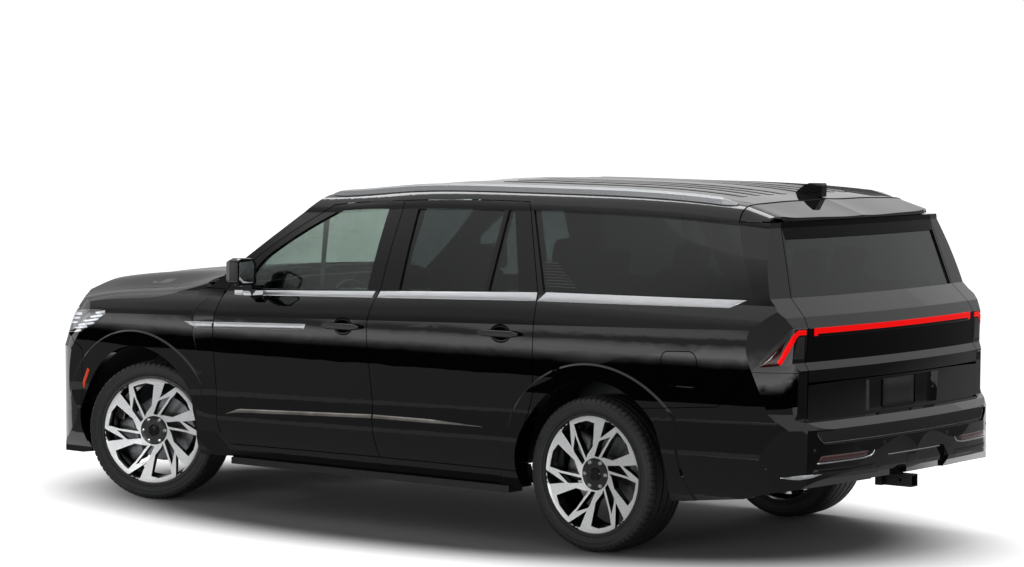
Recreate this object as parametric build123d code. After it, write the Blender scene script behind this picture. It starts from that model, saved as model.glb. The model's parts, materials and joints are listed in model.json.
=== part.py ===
"""Full-size sport utility vehicle: panels, glass, running gear and cabin as separate solids.

Frame: +X forward, +Y left, +Z up, ground at z = 0, origin at mid-length on the centreline.
All sizes are in millimetres.
"""
from build123d import *
import math
import os

os.makedirs("parts", exist_ok=True)

# ---- driving dimensions -------------------------------------------------
HALF_LENGTH = 2818.0        # bumper to bumper is twice this
HALF_WIDTH = 1014.5         # at the side crease
WHEELBASE = 3343.0
FRONT_AXLE_X = 1870.0
TYRE_R = 405.0
TYRE_W = 285.0
WHEEL_Y = 861.0             # centre plane of each tyre
RIM_R = 322.0               # rim flange
KINGPIN_Y = 730.0
STEER_REST = 21.0           # degrees to the left
ARCH_R = 492.0              # wheel opening
ARCH_LIP_R = 573.0          # outer crease of the wheel lip
ARCH_LIP_PROUD = 9.0
ROOF_Z = 1900.0             # roof crown on the centreline
SIDE_GLASS_T = 5.0
PANEL_GAP = 5.0             # visible gap between body panels
SKIN_T = 35.0               # outer flange of a door
DOOR_T = 110.0              # whole door with its trim
FRAME_T = 46.0              # window frame of a door
WALL_T = 60.0               # body side wall with its trim
RING_T = 150.0              # depth of the door ring behind the skin
SEAT_FIT = 0.4              # glass and lamp seating clearance
FLUSH = 10.0                # glass set in from the panel face
SPOKES = 6

REAR_AXLE_X = FRONT_AXLE_X - WHEELBASE
AXLE_Z = TYRE_R
parts = {}


# ---- small helpers ------------------------------------------------------
def lerp(table, x):
    """Straight-line value from a sorted list of (x, value)."""
    if x <= table[0][0]:
        return table[0][1]
    for (xa, va), (xb, vb) in zip(table, table[1:]):
        if x <= xb:
            return va + (vb - va) * (x - xa) / (xb - xa)
    return table[-1][1]


def extrude_points(points, along, start, end, fillet=0.0):
    """Prism from a polygon; along names the axis it runs along."""
    place = {"x": lambda a, b: (start, a, b), "y": lambda a, b: (a, start, b), "z": lambda a, b: (a, b, start)}
    step = {"x": (end - start, 0, 0), "y": (0, end - start, 0), "z": (0, 0, end - start)}
    face = Face(Wire.make_polygon([place[along](a, b) for a, b in points], close=True))
    if fillet:
        face = face.fillet_2d(fillet, face.vertices())
    return Solid.extrude(face, Vector(*step[along]))


def block(x0, x1, y0, y1, z0, z1):
    return Pos((x0 + x1) / 2, (y0 + y1) / 2, (z0 + z1) / 2) * Box(x1 - x0, y1 - y0, z1 - z0)


def cylinder_y(x, z, r, y0, y1):
    return Pos(x, (y0 + y1) / 2, z) * Rot(90, 0, 0) * Cylinder(r, y1 - y0)


def grow(points, d):
    """Polygon moved outward by d, mitred; points run either way round."""
    area = sum(a[0] * b[1] - b[0] * a[1] for a, b in zip(points, points[1:] + points[:1]))
    s = 1.0 if area > 0 else -1.0
    out = []
    n = len(points)
    for i in range(n):
        p, q, r = points[i - 1], points[i], points[(i + 1) % n]
        n1 = unit(q[1] - p[1], p[0] - q[0])
        n2 = unit(r[1] - q[1], q[0] - r[0])
        k = max(0.3, 1.0 + n1[0] * n2[0] + n1[1] * n2[1])
        out.append((q[0] + s * d * (n1[0] + n2[0]) / k, q[1] + s * d * (n1[1] + n2[1]) / k))
    return out


def unit(a, b):
    h = math.hypot(a, b) or 1.0
    return a / h, b / h


def one(shape):
    """The largest solid of a result."""
    return max(shape.solids(), key=lambda s: s.volume)


def put(name, shape):
    parts[name] = shape


# ---- body surface -------------------------------------------------------
def crease_z(x):
    return 1134.0 - 0.0262 * x


def belt_z(x):
    return min(1318.0, 1286.0 - 0.035 * x)


def half_width(x):
    front = max(0.0, (x - 1200.0) / 1600.0)
    rear = max(0.0, (-x - 1500.0) / 1300.0)
    return HALF_WIDTH - 40.0 * front ** 2 - 60.0 * rear ** 2


def roof_drop(x):
    if x > -800.0:
        return 85.0 * ((min(x, 640.0) + 800.0) / 1400.0) ** 2.4
    return 105.0 * ((-max(x, -2560.0) - 800.0) / 1650.0) ** 2.6


def side_profile(x):
    """Corner-to-corner runs of (y, z) from the sill to the roof centre at station x."""
    w = half_width(x)
    zc, zb, za = crease_z(x), belt_z(x), 590.0 - 0.03 * x
    d = roof_drop(x)
    g = 0.4 * (HALF_WIDTH - w)
    lower = [(w - 90, 262), (w - 22, 385), (w - 9, za)]
    middle = [(w - 9, za), (w - 25, za + 75), (w - 21, 800), (w - 5, 960), (w, zc)]
    shoulder = [(w, zc), (w - 20, (zc + zb) / 2), (w - 57, zb)]
    glass = [(w - 57, zb), (892 - g, 1500), (803 - g, 1745 - 0.5 * d)]
    roof = [(803 - g, 1745 - 0.5 * d), (792 - g, 1783 - 0.5 * d), (770 - g, 1818 - 0.55 * d),
            (728 - g, 1846 - 0.6 * d), (640 - g, ROOF_Z - 32 - 0.75 * d), (350, ROOF_Z - 9 - 0.95 * d),
            (0, ROOF_Z - d)]
    return [lower, middle, shoulder, glass, roof]


def inset_profile(runs, t):
    """Every run moved inward by t: along its local normal, or level for a thick wall."""
    if t > 70.0:
        top = runs[-1][-1][1]
        drop = lambda z: z - 0.8 * t * max(0.0, (z - 1300.0) / (top - 1300.0))
        return [[(max(0.0, y - t) if y else 0.0, drop(z)) for y, z in run] for run in runs]
    flat = [runs[0][0]]
    for run in runs:
        flat += run[1:]
    moved = []
    for i, (y, z) in enumerate(flat):
        a = flat[max(i - 1, 0)]
        b = flat[min(i + 1, len(flat) - 1)]
        ty, tz = unit(b[0] - a[0], b[1] - a[1])
        if i == len(flat) - 1:
            ty, tz = -1.0, 0.0
        moved.append((y - t * tz, z + t * ty))
    out, k = [], 0
    for run in runs:
        out.append(moved[k:k + len(run)])
        k += len(run) - 1
    return out


STATIONS = [2900, 2300, 1750, 1240, 640, 0, -800, -1500, -2050, -2450, -2900]


def body_loft(t):
    """Left half of the body volume, its skin moved in by t."""
    wires = []
    for x in STATIONS:
        runs = inset_profile(side_profile(x), t)
        edges = [Edge.make_line((x, 0, 150 + t), (x, runs[0][0][0], 150 + t)),
                 Edge.make_line((x, runs[0][0][0], 150 + t), (x, runs[0][0][0], runs[0][0][1]))]
        for run in runs:
            edges.append(Edge.make_spline([Vector(x, y, z) for y, z in run]))
        edges.append(Edge.make_line((x, 0, runs[-1][-1][1]), (x, 0, 150 + t)))
        wires.append(Wire(edges))
    return Solid.make_loft(wires, ruled=False)


FRONT_PLAN = [(-16, 0, 0.0), (-6, 260, 0.2), (24, 500, 0.55), (84, 700, 0.85), (172, 842, 1.0),
              (262, 924, 1.0), (400, 985, 1.0), (560, 1012, 1.0)]     # back from the nose, y, share of the pull
REAR_PLAN = [(480, 1010, 1.0), (350, 978, 0.95), (250, 942, 0.8), (170, 893, 0.6),
             (118, 830, 0.4), (62, 700, 0.0), (16, 400, 0.0), (0, 0, 0.0)]   # ahead of the tail, y, share of t
SQUARE_TAIL = [(480, 1012, 1.0), (350, 992, 0.95), (250, 968, 0.8), (160, 925, 0.6),
               (98, 850, 0.4), (52, 700, 0.0), (14, 400, 0.0), (0, 0, 0.0)]
FRONT_SHARE = [0.0, 0.0, 0.0, 0.0, 0.3, 0.6, 0.9, 1.0]
NOSE_TAPER = [(860, 0), (950, 38), (1080, 110), (1180, 200), (1400, 260)]   # height, pull of the front corner
LEDGE_LOW_Z, LEDGE_TOP_Z = 707.0, 785.0


def plan_outline(z, t, pull=0.0, tail=REAR_PLAN):
    """Top-view outline of the left half at height z, moved in by t; pull rounds the front corner."""
    f, r = HALF_LENGTH - t, -HALF_LENGTH + t
    front = [Vector(f - a - k * pull, y - share * t, z) for (a, y, k), share in zip(FRONT_PLAN, FRONT_SHARE)]
    rear = [Vector(r + a, y - share * t, z) for a, y, share in tail]
    side = [front[-1], Vector(front[-1].X - 20, 1100, z), Vector(rear[0].X + 20, 1100, z), rear[0]]
    lines = [Edge.make_line(a, b) for a, b in zip(side, side[1:])]
    return Wire([Edge.make_spline(front)] + lines + [Edge.make_spline(rear), Edge.make_line(rear[-1], front[0])])


def plan_prism(t, tail=REAR_PLAN, z0=100.0, z1=2100.0):
    return Solid.extrude(Face(plan_outline(z0, t, 0.0, tail)), Vector(0, 0, z1 - z0))


def front_plan(t):
    """Plan whose front corners round off towards the hood."""
    top = Solid.make_loft([plan_outline(z, t, pull) for z, pull in NOSE_TAPER], ruled=False)
    return plan_prism(t, z1=NOSE_TAPER[0][0]) + top


def bumper_plan(t):
    """Rear plan with squarer corners below a sloping ledge."""
    low = plan_prism(t, SQUARE_TAIL, 100.0, LEDGE_LOW_Z)
    edges = [plan_outline(LEDGE_LOW_Z, t, 0.0, SQUARE_TAIL), plan_outline(LEDGE_TOP_Z, t)]
    slope = Solid.make_loft(edges, ruled=True)
    return low + slope + plan_prism(t, z0=LEDGE_TOP_Z, z1=1300.0)


REAR_SWING_R = 6000.0
REAR_LINE = [(-2728, 700), (-2736, 940), (-2738, 1000), (-2714, 1037), (-2722, 1205), (-2690, 1262),
             (-2600, 1352), (-2492, 1695), (-2492, 1950)]


def rear_volume(t):
    """Everything ahead of the curved rear face."""
    cx = -2728.0 + REAR_SWING_R
    pts = [(x + t, z) for x, z in REAR_LINE]
    pts = [(pts[0][0], 100.0)] + pts + [(pts[-1][0], 2100.0), (cx, 2100.0), (cx, 100.0)]
    face = Face(Wire.make_polygon([(x, 0, z) for x, z in pts], close=True))
    solid = Solid.revolve(face, 30, Axis((cx, 0, 0), (0, 0, 1)))
    return turn_about_z(solid, cx, -15)


def turn_about_z(shape, x, angle):
    return Pos(x, 0, 0) * Rot(0, 0, angle) * Pos(-x, 0, 0) * shape


SCREEN_BASE_X = 1262.0
SCREEN_BASE_Z = 1312.0
SCREEN_SLOPE = 34.6
SCREEN_BOW = 130.0


def screen_volume(t):
    """Everything behind the windscreen surface moved back by t."""
    s = math.tan(math.radians(SCREEN_SLOPE))
    half, bow = 850.0, SCREEN_BOW
    z0, z1 = 900.0, 2100.0
    shift = t / math.sin(math.radians(SCREEN_SLOPE))
    bx = SCREEN_BASE_X - shift + (SCREEN_BASE_Z - z0) / s
    a, m, b = Vector(bx, -half, z0), Vector(bx + bow, 0, z0), Vector(bx, half, z0)
    edges = [Edge.make_three_point_arc(a, m, b),
             Edge.make_line(b, (bx - 60, 1100, z0)), Edge.make_line((bx - 60, 1100, z0), (-3500, 1100, z0)),
             Edge.make_line((-3500, 1100, z0), (-3500, -1100, z0)),
             Edge.make_line((-3500, -1100, z0), (bx - 60, -1100, z0)), Edge.make_line((bx - 60, -1100, z0), a)]
    run = (z1 - z0) / s
    return Solid.extrude(Face(Wire(edges)), Vector(-run, 0, z1 - z0))


def hood_top(x):
    return lerp([(1200, 1364), (1500, 1352), (1900, 1328), (2300, 1290), (2600, 1234), (2900, 1110)], x)


def hood_side(x):
    return lerp([(1200, 1330), (1500, 1282), (1700, 1240), (2150, 1212), (2415, 1172), (2600, 1120),
                 (2900, 1010)], x)


def hood_volume(t):
    """Left half of the volume under the hood surface."""
    wires = []
    for x in (2950, 2750, 2500, 2250, 1950, 1650, 1400, 1150):
        c, s = hood_top(x), hood_side(x)
        pts = [(1120, s - 330), (1030, s - 130), (985, s - 62), (935, s - 24), (850, s), (700, c - 27), (500, c - 13),
               (250, c - 3), (0, c)]
        pts = [(y - t * 0.4 * (y > 900), z - t) for y, z in pts]
        edges = [Edge.make_line((x, 0, 120), (x, pts[0][0], 120)),
                 Edge.make_line((x, pts[0][0], 120), (x, pts[0][0], pts[0][1])),
                 Edge.make_spline([Vector(x, y, z) for y, z in pts]),
                 Edge.make_line((x, 0, pts[-1][1]), (x, 0, 120))]
        wires.append(Wire(edges))
    return Solid.make_loft(wires, ruled=False)


def outer(t):
    """Left half of the whole body volume with its skin moved in by t."""
    return body_loft(t) & plan_prism(t) & rear_volume(t)


def outline_prism(runs, y0, y1, d=0.0, along="y"):
    """Prism from a closed chain of runs (2 points: line, more: spline), grown by d."""
    flat = [p for run in runs for p in run[:-1]]
    if d:
        flat = grow(flat, d)
    n = len(flat)
    place = {"x": lambda a, b: Vector(y0, a, b), "y": lambda a, b: Vector(a, y0, b),
             "z": lambda a, b: Vector(a, b, y0)}[along]
    step = {"x": (y1 - y0, 0, 0), "y": (0, y1 - y0, 0), "z": (0, 0, y1 - y0)}[along]
    edges, k = [], 0
    for run in runs:
        pts = [place(*flat[(k + i) % n]) for i in range(len(run))]
        edges.append(Edge.make_line(*pts) if len(pts) == 2 else Edge.make_spline(pts))
        k += len(run) - 1
    return Solid.extrude(Face(Wire(edges)), Vector(*step))


# ---- side openings, seen from the left ----------------------------------
PILLAR_LINE = [(-21, 388), (34, 613), (54, 850), (58, 1088), (28, 1253), (11, 1296)]
FRONT_DOOR = [[(1150, 378), (1222, 562), (1240, 760), (1240, 893), (1222, 1102), (1173, 1254)],
              [(1173, 1254), (1092, 1347), (968, 1450), (740, 1603), (495, 1746)],
              [(495, 1746), (230, 1769), (-26, 1782)], [(-26, 1782), (11, 1296)],
              PILLAR_LINE[::-1], [(-21, 388), (1150, 378)]]
REAR_DOOR = [PILLAR_LINE, [(11, 1296), (-26, 1782)],
             [(-26, 1782), (-450, 1795), (-901, 1794)], [(-901, 1794), (-1091, 1321)],
             [(-1091, 1321), (-1107, 1200), (-1099, 1000), (-1092, 800)],
             [(-1092, 800), (-1040, 640)], [(-1040, 640), (-1060, 388)], [(-1060, 388), (-21, 388)]]
FRONT_WINDOW = [[(1020, 1262), (995, 1330), (906, 1448)], [(906, 1448), (700, 1582), (458, 1710)],
                [(458, 1710), (270, 1726), (79, 1733)], [(79, 1733), (105, 1296)], [(105, 1296), (1020, 1262)]]
REAR_WINDOW = [[(-134, 1738), (-440, 1746), (-742, 1746)], [(-742, 1746), (-724, 1322)],
               [(-724, 1322), (-123, 1302)], [(-123, 1302), (-134, 1738)]]
REAR_QUARTER_LIGHT = [[(-770, 1746), (-812, 1746)], [(-812, 1746), (-962, 1330)],
                      [(-962, 1330), (-752, 1323)], [(-752, 1323), (-770, 1746)]]
QUARTER_WINDOW = [[(-940, 1750), (-1600, 1746), (-2249, 1722)], [(-2249, 1722), (-2436, 1352)],
                  [(-2436, 1352), (-1122, 1336)], [(-1122, 1336), (-940, 1750)]]
FUEL_DOOR = [(-1922, 899), (-1930, 1070), (-2142, 1078), (-2148, 894)]
FUEL_DOOR_CORNER = 48.0
SILL_BOTTOM = 300.0


def arch_cut(axle_x, r, y0=500.0):
    return cylinder_y(axle_x, AXLE_Z, r, y0, 1200)


def skin(t, cache={}):
    """Body volume moved in by t, made once."""
    if t not in cache:
        cache[t] = body_loft(t) if t else body_loft(0) + arch_lips()
    return cache[t]


def arch_lips():
    """Raised lips round both wheel openings, running out into the sides."""
    y0, y1 = 840.0, HALF_WIDTH + 2 * ARCH_LIP_PROUD
    spread = 1.1 * (y1 - y0)
    lips = None
    for x in (FRONT_AXLE_X, REAR_AXLE_X):
        cone = revolve_y([(y0, 0), (y0, ARCH_LIP_R + spread), (y1, ARCH_LIP_R - 20), (y1, 0)], x, 0.0)
        lips = cone if lips is None else lips + cone
    return body_loft(-ARCH_LIP_PROUD) & lips & block(-2900, 2900, 840, 1100, 300, 1060)


def band(t0, t1, cutter):
    """Wall between two depths, within a cutter."""
    return (skin(t0) & cutter) - skin(t1)


def door_shell(outline):
    """Outer flange over the full outline, thicker box inside it."""
    flange = band(0, SKIN_T, outline_prism(outline, 500, 1200, -PANEL_GAP / 2))
    inner = outline_prism(outline, 500, 1200, -PANEL_GAP / 2 - 36) & block(-3000, 3000, 0, 1200, 300, 1290)
    box = band(SKIN_T - 1, DOOR_T, inner)
    frame = outline_prism(outline, 500, 1200, -PANEL_GAP / 2 - 10) & block(-3000, 3000, 0, 1200, 1282, 2000)
    frame = band(SKIN_T - 1, FRAME_T, frame)
    return flange + box + frame


def glass_pane(outline, d=SEAT_FIT):
    return band(FLUSH, FLUSH + SIDE_GLASS_T, outline_prism(outline, 500, 1200, -d))


HANDLE_CUP = (72.0, 30.0, 50.0)     # half sizes of the scoop behind a handle


def handle(x0, x1, z, y):
    """Pull bar on two posts, over a scooped cup in the door."""
    tips = [(x0, z - 8), (x0 + 50, z - 18), (x1 - 34, z - 18), (x1, z - 8),
            (x1, z + 8), (x1 - 34, z + 17), (x0 + 50, z + 17), (x0, z + 8)]
    bar = fillet(extrude_points(tips, "y", y + 14, y + 31).faces().sort_by(Axis.Y)[-1].edges(), 6)
    feet = [block(a, a + 30, y - 14, y + 18, z - 10, z + 10) for a in (x0 + 4, x1 - 34)]
    return bar + feet[0] + feet[1]


def build_doors():
    doors = {}
    front = door_shell(FRONT_DOOR) - outline_prism(FRONT_WINDOW, 500, 1200)
    rear = door_shell(REAR_DOOR) - outline_prism(REAR_WINDOW, 500, 1200)
    rear = rear - outline_prism(REAR_QUARTER_LIGHT, 500, 1200) - arch_cut(REAR_AXLE_X, ARCH_R)
    for name, door, x0, x1, z in (("front_door", front, 98, 370, 1092), ("rear_door", rear, -1022, -750, 1108)):
        cup = Pos((x0 + x1) / 2, HALF_WIDTH + 4, z) * scale(Sphere(1), by=HANDLE_CUP)
        doors[name] = one((door - cup) + handle(x0, x1, z, HALF_WIDTH))
    doors["front_door_glass"] = glass_pane(FRONT_WINDOW)
    doors["rear_door_glass"] = glass_pane(REAR_WINDOW) + glass_pane(REAR_QUARTER_LIGHT)
    return doors


CENTRE_PILLAR = [(-8, 1270), (30, 1270), (30, 1298), (72, 1304), (28, 1800), (-84, 1800), (-62, 1304), (-8, 1298)]


def side_ring():
    """Hinge pillar, sill and rear pillar behind the doors, with the centre pillar."""
    ring = block(-1150, 1300, 500, 1200, SILL_BOTTOM + 10, 1276)
    for outline in (FRONT_DOOR, REAR_DOOR):
        ring = ring - outline_prism(outline, 400, 1300, -PANEL_GAP / 2 - 20)
    ring = ring - cylinder_y(REAR_AXLE_X, AXLE_Z, ARCH_R + 20, 400, 1300)
    low = band(SKIN_T + 6, RING_T, ring & block(-1150, 1290, 500, 1200, 200, 1290))
    post = extrude_points(CENTRE_PILLAR, "y", 662, 1300)
    return low + band(FRAME_T + 6, FRAME_T + 60, post)


def rear_cutter():
    """Room for the bumper cover, tail lamp, tailgate and spoiler."""
    bumper = extrude_points(grow(BUMPER_SIDE, PANEL_GAP - 1), "y", 500, 1300)
    lamp = extrude_points(grow(LAMP_SIDE, 0.0), "y", 700, 1300)
    gate = gate_region(600, 1900, PANEL_GAP / 2)
    wing = block(-2900, SPOILER_X, 0, 1200, SPOILER_Z - 5, 2000)
    return bumper + gate + wing + lamp


def hinge_leaves():
    """Leaves on the pillars that meet the doors' front faces."""
    leaves = None
    for outline, x0, x1 in ((FRONT_DOOR, 1080, 1260), (REAR_DOOR, -40, 80)):
        gap = outline_prism(outline, 400, 1300, -PANEL_GAP / 2 - 19)
        gap = gap - outline_prism(outline, 300, 1400, -PANEL_GAP / 2 - 35.7)
        for z in (560, 1000):
            leaf = band(60, 100, gap & block(x0, x1, 500, 1200, z, z + 60))
            leaves = leaf if leaves is None else leaves + leaf
    return leaves


def build_side(rear_cut, screen):
    """Pillars, sill, roof rail and quarter panel as one pressing."""
    region = block(-2900, 1330, 640, 1200, SILL_BOTTOM, 1990)
    region = region & (screen + block(-3500, 1185, 0, 1200, 200, 1270))
    for outline in (FRONT_DOOR, REAR_DOOR):
        region = region - outline_prism(outline, 500, 1300, PANEL_GAP / 2)
    region = region - outline_prism(QUARTER_WINDOW, 500, 1300) - arch_cut(REAR_AXLE_X, ARCH_R)
    ahead = [FRONT_DOOR[0], [(1173, 1254), (1180, 1259)], [(1180, 1259), (1400, 1259)],
             [(1400, 1259), (1400, 200)], [(1400, 200), (1120, 200)], [(1120, 200), (1150, 378)]]
    region = region - outline_prism(ahead, 500, 1300)
    pocket = extrude_points(grow(FUEL_DOOR, PANEL_GAP / 2), "y", 900, 1200, FUEL_DOOR_CORNER) - skin(42)
    main = band(0, WALL_T, region & block(-2420, 1400, 0, 1200, 200, 2000))
    corner = skin(0) & region & block(-2900, -2419, 0, 1200, 200, 2000)
    corner = (corner & plan_prism(0) & rear_volume(0)) - outer(WALL_T)
    shell = main + corner - rear_cut
    return one(shell + side_ring() + hinge_leaves()), pocket


# ---- rear ---------------------------------------------------------------
RAIL_Y0 = 365.0
RAIL_Y1 = 445.0
RAIL_END = 2640.0
RECEIVER, RECEIVER_BORE = 64.0, 51.0      # square tow receiver
RECEIVER_Z = 385.0
PIN_R = 8.0
GATE_SPLIT_Z = 940.0
GATE_BOTTOM_Z = 752.0
GATE_T = 80.0
PLATE_PITCH, PLATE_HOLE_R, PLATE_HOLE_Z = 178.0, 3.5, 886.0
PLATE_FLOOR_X = -2700.0     # flat floor of the plate recess
PLATE_RECESS = [[(-2820, -1), (-2820, 380)], [(-2820, 380), (-2734, 358)],
                [(-2734, 358), (-2722, 340), (-2706, 306), (PLATE_FLOOR_X, 262)],
                [(PLATE_FLOOR_X, 262), (PLATE_FLOOR_X, -1)], [(PLATE_FLOOR_X, -1), (-2820, -1)]]
DROP_X, DROP_Z = -2741.0, 751.85   # hinge line of the lower gate
SPOILER_X = -2252.0
SPOILER_Z = 1727.0
GATE_SIDE = [(803, 700), (803, 1034), (790, 1110), (786, 1210), (765, 1349), (700, 1727)]
REAR_GLASS = [(-3, 1352), (748, 1352), (698, 1640), (-3, 1640)]
LAMP_SIDE = [(-2457, 992), (-2632, 1196), (-2655, 1214), (-2900, 1214), (-2900, 992)]
BUMPER_SIDE = [(-1700, 764), (-1900, 776), (-2252, 803), (-2308, 837), (-2462, 990), (-2900, 990),
               (-2900, 426), (-2740, 424), (-2560, 394), (-2396, 352), (-2030, 312), (-1700, 300)]
BUMPER_LINE = [(-2762, 420), (-2800, 462), (-2814, 486), (-2818, 560), (-2814, 632), (-2806, 707),
               (-2768, 744), (-2745, 751.7)]
BUMPER_RECESS = [(-1, 632), (757, 632), (801, 672), (806, 700), (-1, 700)]
SKID_RECESS = [(-1, 552), (262, 552), (328, 485), (352, 400), (-1, 400)]
RECESS_T = 27.0
HEADER_SIDE = [(-2440, 1682), (-2440, 1738), (SPOILER_X - 12, 1772), (SPOILER_X - 12, 1682)]
SPOILER_TILT = 11.0         # extra fall of the spoiler behind the roof, degrees
SPOILER_PLAN = [[(SPOILER_X + 40, -1), (SPOILER_X + 40, 900)], [(SPOILER_X + 40, 900), (-2330, 900)],
                [(-2330, 900), (-2330, 790)],
                [(-2330, 790), (-2398, 744), (-2430, 690), (-2458, 520), (-2474, 260), (-2480, -1)],
                [(-2480, -1), (SPOILER_X + 40, -1)]]


def gate_region(z0, z1, d=0.0):
    """Rear-view outline of the tailgate pair between two heights."""
    half = [(y + d, z) for y, z in GATE_SIDE]
    pts = [(-10, 600)] + [(half[0][0], 600)] + half[1:] + [(-10, half[-1][1])]
    return extrude_points(pts, "x", -2950, -2150) & block(-2950, -2150, -10, 1000, z0, z1)


def build_rear():
    body = skin(0) & plan_prism(0) & rear_volume(0)
    out = {}
    gate = (body & gate_region(GATE_SPLIT_Z, SPOILER_Z - 5, -PANEL_GAP / 2)) - rear_volume(22)
    core = body & rear_volume(21) & gate_region(GATE_SPLIT_Z + 6, SPOILER_Z - 8, -PANEL_GAP / 2 - 12)
    gate = gate + (core - rear_volume(GATE_T))
    gate = gate - extrude_points(REAR_GLASS, "x", -2950, -2150)
    bar = [(-1, 1168), (742, 1168), (742, 1206), (-1, 1206)]
    pocket = extrude_points(grow(bar, SEAT_FIT), "x", -2950, -2400) - rear_volume(24)
    out["light_bar"] = (extrude_points(bar, "x", -2950, -2400) & rear_volume(-4)) - rear_volume(24 - SEAT_FIT)
    header = skin(40) & extrude_points(HEADER_SIDE, "y", 0, 600)
    hinge = skin(44) & block(SPOILER_X - 20, SPOILER_X + PANEL_GAP - 0.3, 300, 360, 1600, 1900)
    hinge = hinge - skin(58)
    out["liftgate"] = one((gate - pocket) + header + hinge)
    glass = extrude_points(grow(REAR_GLASS, -SEAT_FIT), "x", -2950, -2150)
    out["liftgate_glass"] = (glass & rear_volume(FLUSH)) - rear_volume(FLUSH + SIDE_GLASS_T)
    low = (body & gate_region(GATE_BOTTOM_Z, GATE_SPLIT_Z - 4, -PANEL_GAP / 2)) - rear_volume(GATE_T)
    low = low & cylinder_y(DROP_X, DROP_Z, GATE_SPLIT_Z - PANEL_GAP - DROP_Z, -10, 900)
    out["lower_tailgate"] = low - outline_prism(PLATE_RECESS, 766, 924, along="z")
    out["rear_spoiler"] = build_spoiler()
    lamp = (body & extrude_points(grow(LAMP_SIDE, -0.5), "y", 700, 1200)) - outer(45)
    out["tail_lamp"] = one(lamp - gate_region(700, 1800, PANEL_GAP / 2))
    shell_out = skin(0) & bumper_plan(0) & bumper_volume(0)
    shell_in = skin(45) & bumper_plan(45) & bumper_volume(45)
    bumper = (shell_out & extrude_points(BUMPER_SIDE, "y", -1, 1200)) - shell_in
    bumper = bumper - gate_region(GATE_BOTTOM_Z - 0.3, 1300, PANEL_GAP / 2) - arch_cut(REAR_AXLE_X, ARCH_R, -10)
    bracket = block(-2800, -RAIL_END - 0.3, RAIL_Y0 + 10, RAIL_Y1 - 10, 470, 530) & shell_out
    bumper = one(bumper + bracket)
    for outline in (BUMPER_RECESS, SKID_RECESS):
        bumper = bumper - (extrude_points(outline, "x", -2900, -2700) - bumper_volume(RECESS_T))
    out["rear_bumper"] = one(bumper)
    return out


def build_spoiler():
    """Half of the wing over the rear glass, falling more than the roof does."""
    pivot = Pos(SPOILER_X, 0, ROOF_Z)
    tilted = pivot * Rot(0, -SPOILER_TILT, 0) * Pos(-SPOILER_X, 0, -ROOF_Z) * skin(0)
    wing = skin(0) & tilted & block(-2560, SPOILER_X - 5, -1, 900, SPOILER_Z, 1990)
    tail, head = HEADER_SIDE[1], HEADER_SIDE[2]
    under = [(tail[0] - SEAT_FIT, 1500), (tail[0] - SEAT_FIT, tail[1] + SEAT_FIT),
             (head[0] + 40, head[1] + 16), (head[0] + 40, 1500)]
    hollow = skin(40 - SEAT_FIT) & extrude_points(under, "y", -1, 1000)
    return (wing & outline_prism(SPOILER_PLAN, 1500, 1990, along="z")) - hollow


def bumper_volume(t):
    """Rear bumper face swept on a wide radius, its upper part flush with the gate."""
    cx = -2728.0 + REAR_SWING_R
    pts = [(x + t, z) for x, z in BUMPER_LINE] + [(-2729 + t, 760), (-2735 + t, 1036), (-2720 + t, 1300)]
    pts = [(pts[0][0] + 30, 100.0)] + pts + [(cx, 1300.0), (cx, 100.0)]
    face = Face(Wire.make_polygon([(x, 0, z) for x, z in pts], close=True))
    return turn_about_z(Solid.revolve(face, 30, Axis((cx, 0, 0), (0, 0, 1))), cx, -15)


# ---- front --------------------------------------------------------------
NOSE_R = 4200.0
NOSE_LINE = [(2716, 190), (2776, 260), (2806, 400), (2818, 520), (2814, 760), (2800, 900), (2776, 1000),
             (2738, 1080), (2660, 1150)]
HOOD_EDGE_Y = 848.0
HOOD_NOSE_Z = 1088.0
HOOD_REAR = [(1450, -1), (1434, 300), (1392, 600), (1340, 848)]
HEADLAMP_SIDE = [(2234, 1083), (2384, 979), (2540, 944), (2900, 934), (2900, 1083)]
FRONT_BUMPER_SIDE = [(2356, 236), (2360, 853), (2471, 921), (2560, 938), (2900, 928), (2900, 226), (2440, 226)]
GRILLE = [(0, 520), (500, 520), (540, 600), (540, 1020), (500, 1080), (0, 1080)]


def nose_volume(t):
    cx = HALF_LENGTH - NOSE_R
    pts = [(x - t, z) for x, z in NOSE_LINE]
    pts = [(cx, 100.0), (pts[0][0], 100.0)] + pts + [(pts[-1][0] - 500, 1400.0), (cx, 1400.0)]
    face = Face(Wire.make_polygon([(x, 0, z) for x, z in pts], close=True))
    return turn_about_z(Solid.revolve(face, 40, Axis((cx, 0, 0), (0, 0, 1))), cx, -20)


def front_body(t):
    return skin(t) & hood_volume(t) & front_plan(t) & nose_volume(t)


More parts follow.
